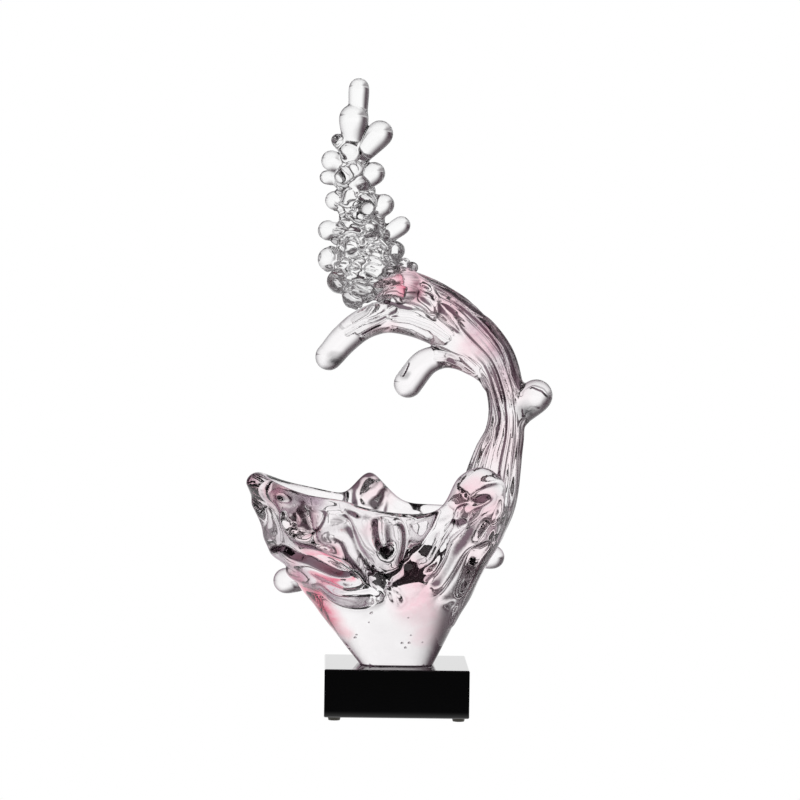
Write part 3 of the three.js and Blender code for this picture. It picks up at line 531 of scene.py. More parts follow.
def spline(stops, samples):
    """Points of a centripetal Catmull-Rom curve through the rows of stops, evenly along its length."""
    stops = np.asarray(stops, float)
    ends = np.concatenate([[2 * stops[0] - stops[1]], stops, [2 * stops[-1] - stops[-2]]])
    knots = np.concatenate([[0], np.cumsum(np.sqrt(np.linalg.norm(np.diff(ends[:, :3], axis=0), axis=1)))])
    fine = []
    for i in range(1, len(ends) - 2):
        t0, t1, t2, t3 = knots[i - 1 : i + 3]
        t = np.linspace(t1, t2, SPLINE_STEPS, endpoint=i == len(ends) - 3)[:, None]
        p0, p1, p2, p3 = ends[i - 1 : i + 3]
        a1, a2, a3 = mix(t, t0, t1, p0, p1), mix(t, t1, t2, p1, p2), mix(t, t2, t3, p2, p3)
        b1, b2 = mix(t, t0, t2, a1, a2), mix(t, t1, t3, a2, a3)
        fine.append(mix(t, t1, t2, b1, b2))
    fine = np.concatenate(fine)
    along = np.concatenate([[0], np.cumsum(np.linalg.norm(np.diff(fine[:, :3], axis=0), axis=1))])
    return sampled(np.linspace(0, along[-1], samples), along, fine), along[-1]


def ways_across(slopes):
    """Unit vectors from the slopes of a line: along it, deep and across."""
    tangent = slopes / np.linalg.norm(slopes, axis=1)[:, None]
    deep_way = np.array([0, 1, 0]) - tangent * tangent[:, 1:2]
    deep_way /= np.linalg.norm(deep_way, axis=1)[:, None]
    return tangent, deep_way, np.cross(deep_way, tangent)


def tube(stops, sides):
    """A round-ended rod through stops of (x, y, z, across, deep)."""
    dense, length = spline(stops, TUBE_SAMPLES)
    start_cap, end_cap = dense[0, 3], dense[-1, 3]
    rounds = np.linspace(0, math.pi / 2, CAP_RINGS + 1)[1:]
    rings = max(3, int((length - start_cap - end_cap) / ROD_STEP))
    middle = np.linspace(start_cap, length - end_cap, rings)
    along = np.concatenate(
        [start_cap * (1 - np.cos(rounds)), middle[1:-1], length - end_cap * (1 - np.cos(rounds[::-1]))]
    )
    width = np.concatenate([np.sin(rounds), np.ones(len(middle) - 2), np.sin(rounds[::-1])])
    places = np.linspace(0, length, len(dense))
    row = sampled(along, places, dense)
    slopes = sampled(along, places, np.gradient(dense[:, :3], axis=0))
    _, deep_way, across_way = ways_across(slopes)
    angle = np.linspace(0, 2 * math.pi, sides, endpoint=False)[None, :]
    across = (row[:, 3] * width)[:, None] * np.cos(angle)
    deep = (row[:, 4] * width)[:, None] * np.sin(angle)
    rings = row[:, None, :3] + across[..., None] * across_way[:, None] + deep[..., None] * deep_way[:, None]
    return loft(rings, dense[0, :3], dense[-1, :3])


def round_stops(stops, origin):
    """Stops for a tube from rows of (x, y, z, radius) from an origin."""
    return [(*(origin + np.array(stop[:3])), stop[3], stop[3]) for stop in stops]


def rod(stops, origin):
    """A round rod through rows of (x, y, z, radius) from an origin."""
    return tube(round_stops(stops, origin), ROD_SIDES)


def teardrop(root, bulb, radius, tail_share=DROP_TAIL, sides=DROP_SIDES):
    """A bulb with a tail back to its root, round the line between them."""
    root, bulb = np.asarray(root, float), np.asarray(bulb, float)
    way = bulb - root
    length = np.linalg.norm(way)
    way /= length
    tail = radius * tail_share
    lean = math.asin((radius - tail) / max(length, radius))
    turns = np.linspace(-lean, math.pi / 2, OUTLINE_STEPS)
    shank = np.linspace(0, 1, OUTLINE_STEPS, endpoint=False)
    heights = np.append(shank * (length - radius * math.sin(lean)), length + radius * np.sin(turns))
    widths = np.append(tail + shank * (radius * math.cos(lean) - tail), radius * np.cos(turns))
    heights, widths = softened(heights, widths, radius * DROP_SOFTNESS)
    side = np.cross(way, [0, 1, 0] if abs(way[1]) < 0.9 else [1, 0, 0])
    side /= np.linalg.norm(side)
    other = np.cross(way, side)
    angle = np.linspace(0, 2 * math.pi, sides, endpoint=False)
    ring = np.cos(angle)[:, None] * side + np.sin(angle)[:, None] * other
    rings = root + heights[:-1, None, None] * way + widths[:-1, None, None] * ring
    return loft(rings, root, root + way * heights[-1])


def softened(heights, widths, spread):
    """An outline with its changes of curvature smoothed, up to its tip on the axis."""
    heights, widths = np.append(heights, heights[-2::-1]), np.append(widths, -widths[-2::-1])
    along = np.append(0, np.cumsum(np.hypot(np.diff(heights), np.diff(widths))))
    tip = along[-1] / 2
    even = np.linspace(0, tip, DROP_RINGS)
    weight = bell(even[:, None] - along[None, :], np.clip(even, 0.05, spread)[:, None])
    weight *= np.gradient(along)
    weight /= weight.sum(1)[:, None]
    return weight @ heights, weight @ widths


# Distance fields


class Field:
    """A box of voxels that holds the distance to the fused glass, in millimetres."""

    def __init__(self, low, high, voxel, reach):
        self.voxel = voxel
        self.reach = reach
        self.start = np.floor(np.asarray(low) / voxel).astype(int)
        self.size = np.ceil(np.asarray(high) / voxel).astype(int) - self.start + 1
        self.values = np.full(self.size, FAR, np.float32)
        self.details = []

    def join(self, shape, fillet):
        """Fuses a closed mesh into the field with a fillet of about that radius."""
        points, triangles, quads = shape
        band = max(fillet, self.reach) / self.voxel + 3
        pad = int(math.ceil(band)) + 2
        low = np.maximum(np.floor(points.min(0) / self.voxel).astype(int) - pad, self.start)
        high = np.minimum(np.ceil(points.max(0) / self.voxel).astype(int) + pad, self.start + self.size)
        if np.any(high - low < 2):
            return
        grid = openvdb.FloatGrid.createLevelSetFromPolygons(
            np.ascontiguousarray(points, np.float32),
            triangles=np.ascontiguousarray(triangles, np.uint32),
            quads=np.ascontiguousarray(quads, np.uint32),
            transform=openvdb.createLinearTransform(self.voxel),
            exBandWidth=band,
            inBandWidth=band,
        )
        block = np.zeros(tuple(high - low), np.float32)
        grid.copyToArray(block, ijk=tuple(int(v) for v in low))
        part = tuple(slice(a, b) for a, b in zip(low - self.start, high - self.start))
        old = self.values[part]
        # A smooth minimum of the two distances
        near = np.clip(fillet - np.abs(old - block), 0, None) / fillet
        self.values[part] = np.minimum(old, block) - near * near * fillet / 4

    def cut_below(self, level):
        """Removes what lies below a level."""
        heights = (np.arange(self.size[2]) + self.start[2]) * self.voxel
        self.values = np.maximum(self.values, (level - heights).astype(np.float32))

    def at(self, points):
        """The distance at any points."""
        place = points / self.voxel - self.start
        low = np.clip(np.floor(place).astype(int), 0, self.size - 2)
        share = place - low
        out = 0
        for corner in np.ndindex(2, 2, 2):
            weight = np.where(corner, share, 1 - share).prod(1)
            out = out + weight * self.values[tuple((low + corner).T)]
        return out

    def slope(self, points, details=None):
        """Which way the distance grows at any points, with the given details or all of them."""
        way = np.zeros(points.shape)
        for axis, one in enumerate(np.eye(3)):
            wide, fine = one * self.voxel, one * FINE_STEP
            way[:, axis] = (self.at(points + wide) - self.at(points - wide)) / (2 * self.voxel)
            for detail in self.details if details is None else details:
                way[:, axis] -= (detail(points + fine) - detail(points - fine)) / (2 * FINE_STEP)
        return way / np.maximum(np.linalg.norm(way, axis=1), 1e-9)[:, None]

    def skin(self):
        """The surface where the distance is zero: (points, faces, normals, flanks).

        A flank is how far the details tilt the surface there, from 0 to 1.
        """
        grid = openvdb.FloatGrid(FAR)
        grid.transform = openvdb.createLinearTransform(self.voxel)
        values = self.values.copy()
        near = np.nonzero(np.abs(values) < self.reach)
        places = (np.stack(near, -1) + self.start) * self.voxel
        for detail in self.details:
            values[near] -= detail(places)
        grid.copyFromArray(values, ijk=tuple(int(v) for v in self.start))
        points, triangles, quads = grid.convertToPolygons(isovalue=0.0, adaptivity=ADAPTIVITY)
        points = points.astype(float)
        # Two steps bring the points onto the surface with its details
        for _ in range(2):
            step = self.at(points) - sum(detail(points) for detail in self.details)
            step = np.clip(step, -SKIN_STEP * self.voxel, SKIN_STEP * self.voxel)
            points = points - step[:, None] * self.slope(points)
        normals = self.slope(points)
        flanks = 1 - (normals * self.slope(points, [])).sum(1)
        first, second, third = (points[quads[:, k]] for k in range(3))
        facing = (np.cross(second - first, third - first) * normals[quads[:, 0]]).sum()
        if facing < 0:
            triangles, quads = triangles[:, ::-1], quads[:, ::-1]
        return points, triangles.tolist() + quads.tolist(), normals, flanks


# The mesh attribute that holds the flanks, which the glass turns into painted shade, and the shape of a
# bubble
FLANK = "flank"
BUBBLE_TAIL = 0.6
BUBBLE_TAIL_SHARE = 0.8
BUBBLE_SIDES = 20


def add(name, data):
    """A new object in the scene."""
    piece = bpy.data.objects.new(name, data)
    bpy.context.scene.collection.objects.link(piece)
    return piece


def add_glass(name, field, material, bubbles=()):
    """A mesh object from a field of glass millimetres, with air bubbles inside."""
    points, faces, normals, flanks = field.skin()
    for x, y, height, radius in bubbles:
        centre = np.array([x, y, height])
        root = centre - [0, 0, radius * BUBBLE_TAIL]
        ball, triangles, quads = teardrop(root, centre, radius, BUBBLE_TAIL_SHARE, BUBBLE_SIDES)
        start = len(points)
        points = np.concatenate([points, ball])
        normals = np.concatenate([normals, (centre - ball) / radius])
        faces += (triangles[:, ::-1] + start).tolist() + (quads[:, ::-1] + start).tolist()
    low, high = (np.array(corner) for corner in cad_box)
    places = np.clip(points * MM + np.array(SEAT), low + BOX_GAP, high - BOX_GAP)
    mesh = bpy.data.meshes.new(name)
    mesh.from_pydata(places.tolist(), [], faces)
    mesh.polygons.foreach_set("use_smooth", [True] * len(mesh.polygons))
    mesh.normals_split_custom_set_from_vertices(normals.tolist())
    flanks = np.append(flanks, np.zeros(len(points) - len(flanks)))
    mesh.attributes.new(FLANK, "FLOAT", "POINT").data.foreach_set("value", flanks.astype(np.float32))
    mesh.materials.append(material)
    return add(name, mesh)


# Glass bits


def bowl_shape():
    azimuth = np.linspace(0, 360, BOWL_SIDES, endpoint=False)[None, :]
    wall = WALL + rim_sum(azimuth, BEAD)
    top = rim_height(azimuth) - wall / 2
    share = np.linspace(0, 1, OUTER_RINGS)[:, None]
    outer = wall_point(azimuth, share * top)
    around = np.linspace(0, math.pi, RIM_RINGS)[1:-1, None]
    rim = wall_point(azimuth, top, wall / 2 * (1 - np.cos(around)))
    rim[..., 2] += wall / 2 * np.sin(around)
    share = np.linspace(0, 1, INNER_RINGS, endpoint=False)[:, None]
    height = top + (FLOOR_HEIGHT - top) * np.sin(share * math.pi / 2)
    inner = wall_point(azimuth, height, wall)
    slant = CAVITY_SLANT * bell(turn(CAVITY_SLANT_AZIMUTH, azimuth), CAVITY_SLANT_SPREAD)
    closing = (1 - share**2) ** (CAVITY_ROUND + slant)
    inner[..., 0] = FLOOR_SHIFT + (inner[..., 0] - FLOOR_SHIFT) * closing
    inner[..., 1] *= closing
    return loft(np.concatenate([outer, rim, inner]), (0, 0, 0), (FLOOR_SHIFT, 0, FLOOR_HEIGHT))


def belly_radius(height):
    """The bowl's rough radius at a height, which sets how wide a degree is."""
    return (SEAT_DEPTH + (BELLY_DEPTH - SEAT_DEPTH) * opening(height)) / 2


outer_map = FaceMap(BOWL_MAP_TOP, belly_radius)
outer_map.swell(*OUTER_SWELLING)
for row in WALL_MARKS:
    outer_map.mark(*row)
outer_map.limit(MARK_LIMIT)
inner_map = FaceMap(BOWL_MAP_TOP, belly_radius)
inner_map.swell(*INNER_SWELLING)


def wall_detail(points):
    """Ridges, valleys and swellings of the bowl at points near its faces."""
    x, y, height = points.T
    out_x = x - opening(height) * BELLY_SHIFT
    azimuth = np.degrees(np.arctan2(y, out_x))
    wall = WALL + rim_sum(azimuth, BEAD)
    depth = wall_reach(azimuth, height) - np.hypot(out_x, y)
    side = smoothstep(depth, wall * WALL_MIDDLE[0], wall * WALL_MIDDLE[1])
    beyond = 1 - smoothstep(-depth, *OUTSIDE_WALL)
    rim = rim_height(azimuth)
    below = 1 - smoothstep(height, rim - UNDER_RIM[0], rim - UNDER_RIM[1])
    outer = outer_map.at(azimuth, height) * (1 - side) * smoothstep(height, *OUTER_DETAIL)
    inner = inner_map.at(azimuth, height) * side * smoothstep(height, *INNER_DETAIL)
    return (outer + inner) * beyond * below


stem_leaves = wall_point(0, STEM_LEAVES_HEIGHT, STEM_LEAVES_INSET)
stem_stops = [(*wall_point(*stop[:3]), *stop[3:]) for stop in STEM_ROOT]
stem_stops.append((*stem_leaves, STEM_LEAVES_ACROSS, STEM_LEAVES_DEEP))
stem_stops += [(*(stem_leaves + stop[:3]), *stop[3:]) for stop in STEM_ARCH]
stem_end = np.array(stem_stops[-1][:3])
stem_line = spline(stem_stops, LINE_SAMPLES)[0][:, :3]
stem_rows, stem_length = spline(stem_stops, STEM_SAMPLES)
stem_tangent, stem_deep_way, stem_across_way = ways_across(np.gradient(stem_rows[:, :3], axis=0))
stem_along = np.linspace(0, stem_length, len(stem_rows))
stem_map = FaceMap(stem_length - MAP_STARTS, lambda along: np.interp(along, stem_along, stem_rows[:, 3]))
for row in STEM_MARKS:
    stem_map.mark(*row)


def stem_point(height):
    """Where the stem's middle reaches a height above the place where it leaves the bowl."""
    return stem_line[np.argmax(stem_line[:, 2] >= stem_leaves[2] + height)]


def strand_height(angle, share):
    """How far strands drawn out of the hot glass stand out, in millimetres."""
    lean = angle + math.radians(STRAND_TWIST) * share
    # Slow waves make the strands uneven and bow the stem's face in and out
    uneven = lean + 0.10 * np.sin(3 * lean + 6 * share) + 0.06 * np.sin(2 * lean - 9 * share)
    ridge = np.sqrt(np.cos(STRANDS * uneven / 2) ** 2 + 0.15)
    broad = np.cos(3 * lean + 5 * share) + np.cos(5 * lean - 7 * share)
    inside = 0.5 - 0.5 * np.cos(angle)
    depth = STRAND_DEPTH * (1 - STRAND_TIP_SHARE * smoothstep(share, *STRANDS_FADE_INSIDE) * inside)
    fine = bell(turn(FINE_MIDDLE, np.degrees(angle)), FINE_SPREAD)
    fine *= smoothstep(share, *FINE_START) * (1 - smoothstep(share, *FINE_END))
    fine *= FINE_DEPTH * np.sin(FINE_STRANDS * lean + 3 * np.sin(23 * share))
    return depth * (ridge - 0.8) + BROAD_DEPTH * broad + fine


def stem_detail(points):
    """The strands and marks at points near the stem's surface."""
    out = np.zeros(len(points))
    close = np.zeros(len(points), bool)
    for place in stem_rows[::STEM_NEAR_ROWS, :3]:
        close |= ((points - place) ** 2).sum(1) < STEM_NEAR**2
    close = np.nonzero(close)[0]
    for start in range(0, len(close), STEM_BLOCK):
        chosen = close[start : start + STEM_BLOCK]
        some = points[chosen]
        gaps = (stem_rows[:, :3] ** 2).sum(1) - 2 * some @ stem_rows[:, :3].T
        row = gaps.argmin(1)
        away = some - stem_rows[row, :3]
        along = (away * stem_tangent[row]).sum(1)
        place = row + along / stem_length * (len(stem_rows) - 1)
        place = np.clip(place, 0, len(stem_rows) - JUST_OVER_ONE)
        low = place.astype(int)
        share = (place - low)[:, None]

        def between(rows):
            return rows[low] * (1 - share) + rows[low + 1] * share

        centre = between(stem_rows)
        away = some - centre[:, :3]
        across = (away * between(stem_across_way)).sum(1) / centre[:, 3]
        deep = (away * between(stem_deep_way)).sum(1) / centre[:, 4]
        ratio = np.hypot(across, deep)
        angle = np.arctan2(deep, across)
        end = place / (len(stem_rows) - 1)
        # Where the strands end beside the stem, in its radii, further out near the bowl
        wide = 1.3 + 0.5 * (1 - smoothstep(end, 0.15, 0.4))
        weight = 1 - smoothstep(ratio, wide - 0.15, wide + 0.1)
        weight *= smoothstep(end, *STRANDS_START)
        height = strand_height(angle, end) + stem_map.at(np.degrees(angle), end * stem_length)
        out[chosen] = weight * height
    return out


def drip_detail(points):
    """Ridges and valleys on the drips and the knob, at places as seen from the front."""
    out = np.zeros(len(points))
    for width, raised, stops in DRIP_MARKS:
        stops = np.array(stops, float)
        low, high = stops.min(0) - 3 * width, stops.max(0) + 3 * width
        near = np.nonzero(((points[:, ::2] > low) & (points[:, ::2] < high)).all(1))[0]
        some = points[near][:, ::2]
        away = np.full(len(near), np.inf)
        for first, second in zip(stops[:-1], stops[1:]):
            step = second - first
            share = np.clip((some - first) @ step / (step @ step), 0, 1)[:, None]
            away = np.minimum(away, np.linalg.norm(some - first - share * step, axis=1))
        out[near] += raised * bell(away, width)
    front = smoothstep(DRIP_MIDDLE - points[:, 1], *DRIP_MARKS_START)
    back = smoothstep(points[:, 1] - DRIP_MIDDLE, *DRIP_MARKS_START) * (points[:, 0] < KNOB_STARTS)
    return out * (front + back)


core_stops = round_stops(CORE_AXIS, stem_end)
core_line = spline(core_stops, LINE_SAMPLES)[0]


def core_point(height):
    """Where the core's middle is at a height above the stem's end."""
    wanted = stem_end[2] + height
    row = core_line[min(int(np.searchsorted(core_line[:, 2], wanted)), len(core_line) - 1)]
    return np.array([row[0], row[1], wanted])


def level_way(degrees):
    """A level unit vector towards an azimuth."""
    return np.array([math.cos(math.radians(degrees)), math.sin(math.radians(degrees)), 0])


def spray_shapes():
    shapes = [tube(core_stops, CORE_SIDES)]
    for root, height, azimuth, out, radius, *tail in SPRAY_DROPS:
        bulb = core_point(height) + level_way(azimuth) * out
        shapes.append(teardrop(core_point(root), bulb, radius, *tail))
    return shapes


def bead_shapes():
    shapes = []
    for n, height in enumerate(np.linspace(BEADS_LOW, BEADS_HIGH, BEADS)):
        wide = np.interp(stem_end[2] + height, core_line[:, 2], core_line[:, 3])
        radius = BEAD_SMALLEST + (BEAD_LARGEST - BEAD_SMALLEST) * (0.5 + 0.5 * math.sin(BEAD_MIX * n * n))
        bulb = core_point(height + radius) + level_way(n * BEAD_TURN) * wide * BEAD_DEPTH
        shapes.append(teardrop(core_point(height), bulb, radius, BEAD_TAIL, BEAD_SIDES))
    return shapes


def core_detail(points):
    """Fine bumps all over the core."""
    draw = np.random.default_rng(CORE_BUMP_SEED)
    near = np.interp(points[:, 2], core_line[:, 2], np.arange(len(core_line))).astype(int)
    away = np.hypot(*(points - core_line[near, :3])[:, :2].T) / core_line[near, 3]
    top = stem_end[2] + BEADS_HIGH
    weight = 1 - smoothstep(away, *BUMPS_OUTSIDE)
    weight = weight * (1 - smoothstep(points[:, 2], top - BUMPS_UNDER_TOP, top))
    bumps = 0
    for _ in range(CORE_BUMP_WAVES):
        ways = draw.normal(size=(2, 3))
        ways *= 2 * math.pi / draw.uniform(*CORE_BUMP_WIDTHS) / np.linalg.norm(ways, axis=1)[:, None]
        bumps = bumps + np.sin(points @ ways[0] + draw.uniform(0, 6)) * np.sin(points @ ways[1])
    return CORE_BUMPS * weight * bumps / 2


def knob_shape():
    root = stem_point(KNOB_LEAVES)
    lift = math.radians(KNOB_LIFT)
    bulb = root + KNOB_REACH * np.array([math.cos(lift), 0, math.sin(lift)])
    return teardrop(root, bulb, KNOB_RADIUS, KNOB_TAIL)


def bowl_drop_shape(azimuth, height, radius, outside, lift):
    root = wall_point(azimuth, height, WALL)
    bulb = wall_point(azimuth, height, -outside) + [0, 0, lift]
    return teardrop(root, bulb, radius)


def join_wave(field):
    """Fuses the stem and all that hangs from it into a field."""
    field.join(tube(stem_stops, STEM_SIDES), BOWL_FILLET)
    for drip in (LONG_DRIP, SHORT_DRIP):
        field.join(rod(drip, stem_point(DRIP_LEAVES)), DRIP_FILLET)
    field.join(knob_shape(), DRIP_FILLET)
    for tongue in ARCH_TONGUES:
        field.join(rod(tongue, (0, 0, 0)), DRIP_FILLET)


# Materials

# Coloured clouds in the glass, the pink ones first: place in millimetres above the seat, radius and strength
ROSE_CLOUDS = [
    (wall_point(-158, 70), 18, 1.0), (wall_point(-154, 54), 18, 1.0),
    (wall_point(-151, 41), 15, 1.0), (wall_point(-146, 30), 10, 0.5),
    (wall_point(-150, 92), 12, 0.5), (wall_point(-129, 95), 14, 0.6),
    (wall_point(-140, 118), 16, 0.35), (wall_point(-160, 142), 14, 0.5),
    (wall_point(-176, 146), 16, 0.6), (wall_point(-95, 117), 10, 0.4),
    (wall_point(-66, 78), 20, 0.6), (wall_point(-61, 57), 22, 0.6), (wall_point(-49, 31), 16, 0.35),
    (wall_point(-34, 141), 18, 0.6), (wall_point(-22, 128), 16, 0.45),
    (wall_point(95, 140), 16, 0.3), (stem_rows[40, :3] + [0, -20, 0], 24, 0.25),
    (stem_rows[90, :3] + [0, -14, 0], 26, 0.25), (stem_rows[120, :3] + [0, -12, 0], 20, 0.3),
    (stem_rows[145, :3] + [4, -12, 4], 22, 0.45), (stem_rows[165, :3] + [0, -12, 4], 20, 0.5),
    (stem_rows[186, :3] + [2, -14, 4], 13, 1.0), ((0, -20, 316), 12, 0.6),
    ((-14, -30, 315), 10, 0.3), (stem_leaves + [-28, -12, 110], 14, 0.3),
    (stem_leaves + [-88, -10, 138], 14, 0.5),
]
MAUVE_CLOUDS = [
    (wall_point(-150, 76), 14, 0.9), (wall_point(-130, 72), 14, 0.8),
    (wall_point(-139, 141), 13, 0.9), (wall_point(-176, 150), 12, 0.8),
    (wall_point(-170, 112), 14, 0.5), (wall_point(-100, 86), 12, 0.5),
    (wall_point(-26, 118), 16, 0.2), (stem_rows[150, :3] + [8, -12, 8], 16, 0.8),
    (stem_rows[137, :3] + [10, -12, 6], 16, 0.8), (stem_rows[125, :3] + [11, -12, 3], 16, 0.7),
    (stem_rows[165, :3] + [6, -12, 10], 14, 0.6),
]

# Strong pink up the left edge of the bowl's foot
DEEP_CLOUDS = [
    ((-70, -23, 70), 14, 1.0), ((-64, -25, 61), 16, 1.0), ((-57, -25, 51), 15, 1.0),
    ((-50, -24, 40), 13, 0.9), ((-43, -22, 28), 10, 0.4), ((-62, 24, 58), 15, 0.8),
    ((-54, 24, 44), 12, 0.8),
]

# Painted shade: dark patches in the drips and the knob
PAINTED_SHADE_PATCHES = [
    ((-54, -10, 250), 8, 1.0), ((-57, -10, 256), 5, 0.7), ((3, -14, 244), 4, 1.0),
    ((107, -11, 212), 9, 1.0), ((113, -11, 202), 9, 1.0),
]

# Where the painted shade at the outline turns pale, up the left edge of the bowl's foot
PALE_EDGE_SHADE_PLACES = [
    (wall_point(-168, 66), 15, 1.0), (wall_point(-166, 48), 15, 1.0),
    (wall_point(-164, 30), 14, 1.0), (wall_point(-164, 14), 12, 1.0),
]

# Painted shade round the cavity's floor, darker in the recess
FLOOR_SHADE_CLOUDS = [
    ((-30, 0, 60), 11, 1.0), ((-41, -2, 58), 9, 0.9), ((-18, 0, 62), 8, 0.8),
]

# Clear glass, whose painted shade at the outline has no pink in it: the outer parts of both drips, and the
# knob
COLOURLESS = [
    ((-62, 0, 263), 34, 1.0), ((-24, 0, 292), 26, 1.0), ((6, -3, 242), 26, 1.0),
    ((116, 0, 218), 17, 1.0),
]

# What the clouds multiply the glass by, and how they fade and swirl, with sizes in millimetres
CLOUD_ROSE = (1.0, 0.2, 0.36)
CLOUD_MAUVE = (0.42, 0.29, 0.38)
CLOUD_DEEP = (1.0, 0.03, 0.14)
# Painted shade in the cavity's floor
CLOUD_FLOOR_SHADE = (0.16, 0.13, 0.15)
# Painted shade at the outline, where it turns pale
PALE_EDGE_SHADE = (0.85, 0.62, 0.7)
# Painted shade in the drips and the knob
CLOUD_PAINTED_SHADE = (0.02, 0.02, 0.022)
CLOUD_FADES = (1.5, 0.3)
CLOUD_SWIRL = 14
CLOUD_SWIRL_SIZE = 30
STREAK_SIZE = 12
STREAK_DETAIL = (3, 0.6)
STREAK_FROM_TO = (0.38, 0.6)
STREAK_LEAST = 0.75

# The glass itself, the shade painted towards its outline where the glass is seen edge-on, and the shade
# painted on the flanks of ridges
GLASS_BLEND = 0.5
ROSE_BODY = (1.0, 0.982, 0.992)
ROSE_EDGE_SHADE = (0.11, 0.05, 0.085)
ROSE_EDGE_SHADE_FROM_TO = (0.12, 0.75)
ROSE_FLANK_SHADE = (0.045, 0.026, 0.037)
FLANK_SHADE_FROM_TO = (0.12, 0.34)
CLEAR_FLANK_SHADE = (0.6, 0.59, 0.6)
CLEAR_BODY = (1.0, 1.0, 1.0)
CLEAR_EDGE_SHADE = (0.36, 0.35, 0.365)
CLEAR_EDGE_SHADE_FROM_TO = (0.1, 0.8)


class Shader:
    """A material or world with shorthands for its nodes."""

    def __init__(self, owner):
        owner.use_nodes = True
        self.tree = owner.node_tree
        self.surface = self.tree.nodes.get("Principled BSDF")

    def node(self, kind, *inputs, **settings):
        made = self.tree.nodes.new("ShaderNode" + kind)
        for name, value in settings.items():
            setattr(made, name, value)
        for socket, value in zip(made.inputs, inputs):
            self.put(socket, value)
        return made

    def put(self, socket, value):
        if isinstance(value, bpy.types.NodeSocket):
            self.tree.links.new(value, socket)
        elif value is not None:
            socket.default_value = value

    def set(self, **values):
        for name, value in values.items():
            self.put(self.surface.inputs[name.replace("_", " ")], value)

    def math(self, operation, *values):
        return self.node("Math", *values, operation=operation).outputs[0]

    def step(self, value, low, high, to_low=0.0, to_high=1.0):
        """A smooth step of a value."""
        made = self.node("MapRange", None, low, high, to_low, to_high, interpolation_type="SMOOTHSTEP")
        self.put(made.inputs["Value"], value)
        return made.outputs["Result"]

    def blend(self, share, first, second, kind="MIX"):
        """A colour between two, or the first one multiplied by the second. Each is a socket or a tuple."""
        made = self.node("Mix", share, data_type="RGBA", blend_type=kind)
        for socket, value in zip((made.inputs[6], made.inputs[7]), (first, second)):
            self.put(socket, (*value, 1) if isinstance(value, tuple) else value)
        return made.outputs[2]

    def noise(self, place, scale, detail=2.0, roughness=0.5):
        made = self.node("TexNoise")
        for name, value in dict(Vector=place, Scale=scale, Detail=detail, Roughness=roughness).items():
            self.put(made.inputs[name], value)
        return made

    def place(self):
        return self.node("TexCoord").outputs["Object"]

    def bump(self, height, strength, distance):
        made = self.node("Bump")
        for name, value in dict(Strength=strength, Distance=distance, Height=height).items():
            self.put(made.inputs[name], value)
        return made.outputs["Normal"]


def new_shader(name):
    """A new material and its shader."""
    material = bpy.data.materials.new(name)
    return material, Shader(material)


def cover(shader, place, clouds):
    """How much of a place is in soft balls, each with its middle, radius and strength."""
    outside, inside = CLOUD_FADES
    most = 0.0
    for middle, radius, strength in clouds:
        at = tuple(np.array(middle) * MM + np.array(SEAT))
        away = shader.node("VectorMath", place, at, operation="DISTANCE").outputs["Value"]
        near = shader.step(away, outside * radius * MM, inside * radius * MM, 0, strength)
        most = shader.math("MAXIMUM", most, near)
    return most


def glass_material(name, body, edge_shade, edge_shade_range, flank_shade, clouds):
    """Clear glass with painted shade towards its outline and on the flanks of ridges, with coloured clouds
    and clouds of painted shade.
    """
    material, shader = new_shader(name)
    facing = shader.node("LayerWeight", GLASS_BLEND).outputs["Facing"]
    edge_shade = shader.blend(cover(shader, shader.place(), COLOURLESS), edge_shade, CLEAR_EDGE_SHADE)
    edge_shade = shader.blend(cover(shader, shader.place(), PALE_EDGE_SHADE_PLACES), edge_shade, PALE_EDGE_SHADE)
    # Painted shade: darker towards the outline, where the glass is seen edge-on
    color = shader.blend(shader.step(facing, *edge_shade_range), body, edge_shade)
    # Painted shade on the flanks of ridges, darker where the details tilt the surface
    flank = shader.node("Attribute", attribute_name=FLANK).outputs["Fac"]
    color = shader.blend(shader.step(flank, *FLANK_SHADE_FROM_TO), color, flank_shade, "MULTIPLY")
    place = shader.place()
    swirl = shader.noise(place, 1 / (CLOUD_SWIRL_SIZE * MM)).outputs["Color"]
    offset = shader.node("VectorMath", swirl, (0.5, 0.5, 0.5), operation="SUBTRACT").outputs[0]
    offset = shader.node("VectorMath", offset, operation="SCALE")
    offset.inputs["Scale"].default_value = 2 * CLOUD_SWIRL * MM
    place = shader.node("VectorMath", place, offset.outputs[0], operation="ADD").outputs[0]
    streaks = shader.noise(place, 1 / (STREAK_SIZE * MM), *STREAK_DETAIL).outputs[0]
    streaks = shader.step(streaks, *STREAK_FROM_TO, STREAK_LEAST, 1)
    # The coloured clouds of the glass, and the clouds of painted shade round the cavity's floor and in the
    # drips and the knob
    for tint_and_shade, places in clouds:
        share = shader.math("MULTIPLY", cover(shader, place, places), streaks)
        color = shader.blend(share, color, tint_and_shade, "MULTIPLY")
    shader.set(Base_Color=color, Transmission_Weight=1.0, Roughness=0.0, IOR=1.5)
    return material


def crystal_material(name):
    """Polished black glass with faint smears."""
    material, shader = new_shader(name)
    smears = shader.noise(shader.place(), 60, 4, 0.6).outputs[0]
    shader.set(
        Base_Color=shader.blend(smears, (0.0016, 0.0016, 0.002), (0.003, 0.003, 0.0036)),
        Roughness=shader.step(smears, 0.3, 0.8, 0.015, 0.05),
        IOR=1.5,
        Coat_Weight=1.0,
        Coat_IOR=1.6,
        Coat_Roughness=0.02,
    )
    return material


def glue_material(name):
    """Cured clear glue with tiny waves."""
    material, shader = new_shader(name)
    waves = shader.noise(shader.place(), 300, 3, 0.6).outputs[0]
    shader.set(
        Base_Color=shader.blend(waves, (0.9, 0.9, 0.88), (0.8, 0.79, 0.76)),
        Transmission_Weight=0.9,
        IOR=1.48,
        Roughness=shader.step(waves, 0.3, 0.7, 0.08, 0.25),
        Normal=shader.bump(waves, 0.2, 0.0004),
    )
    return material


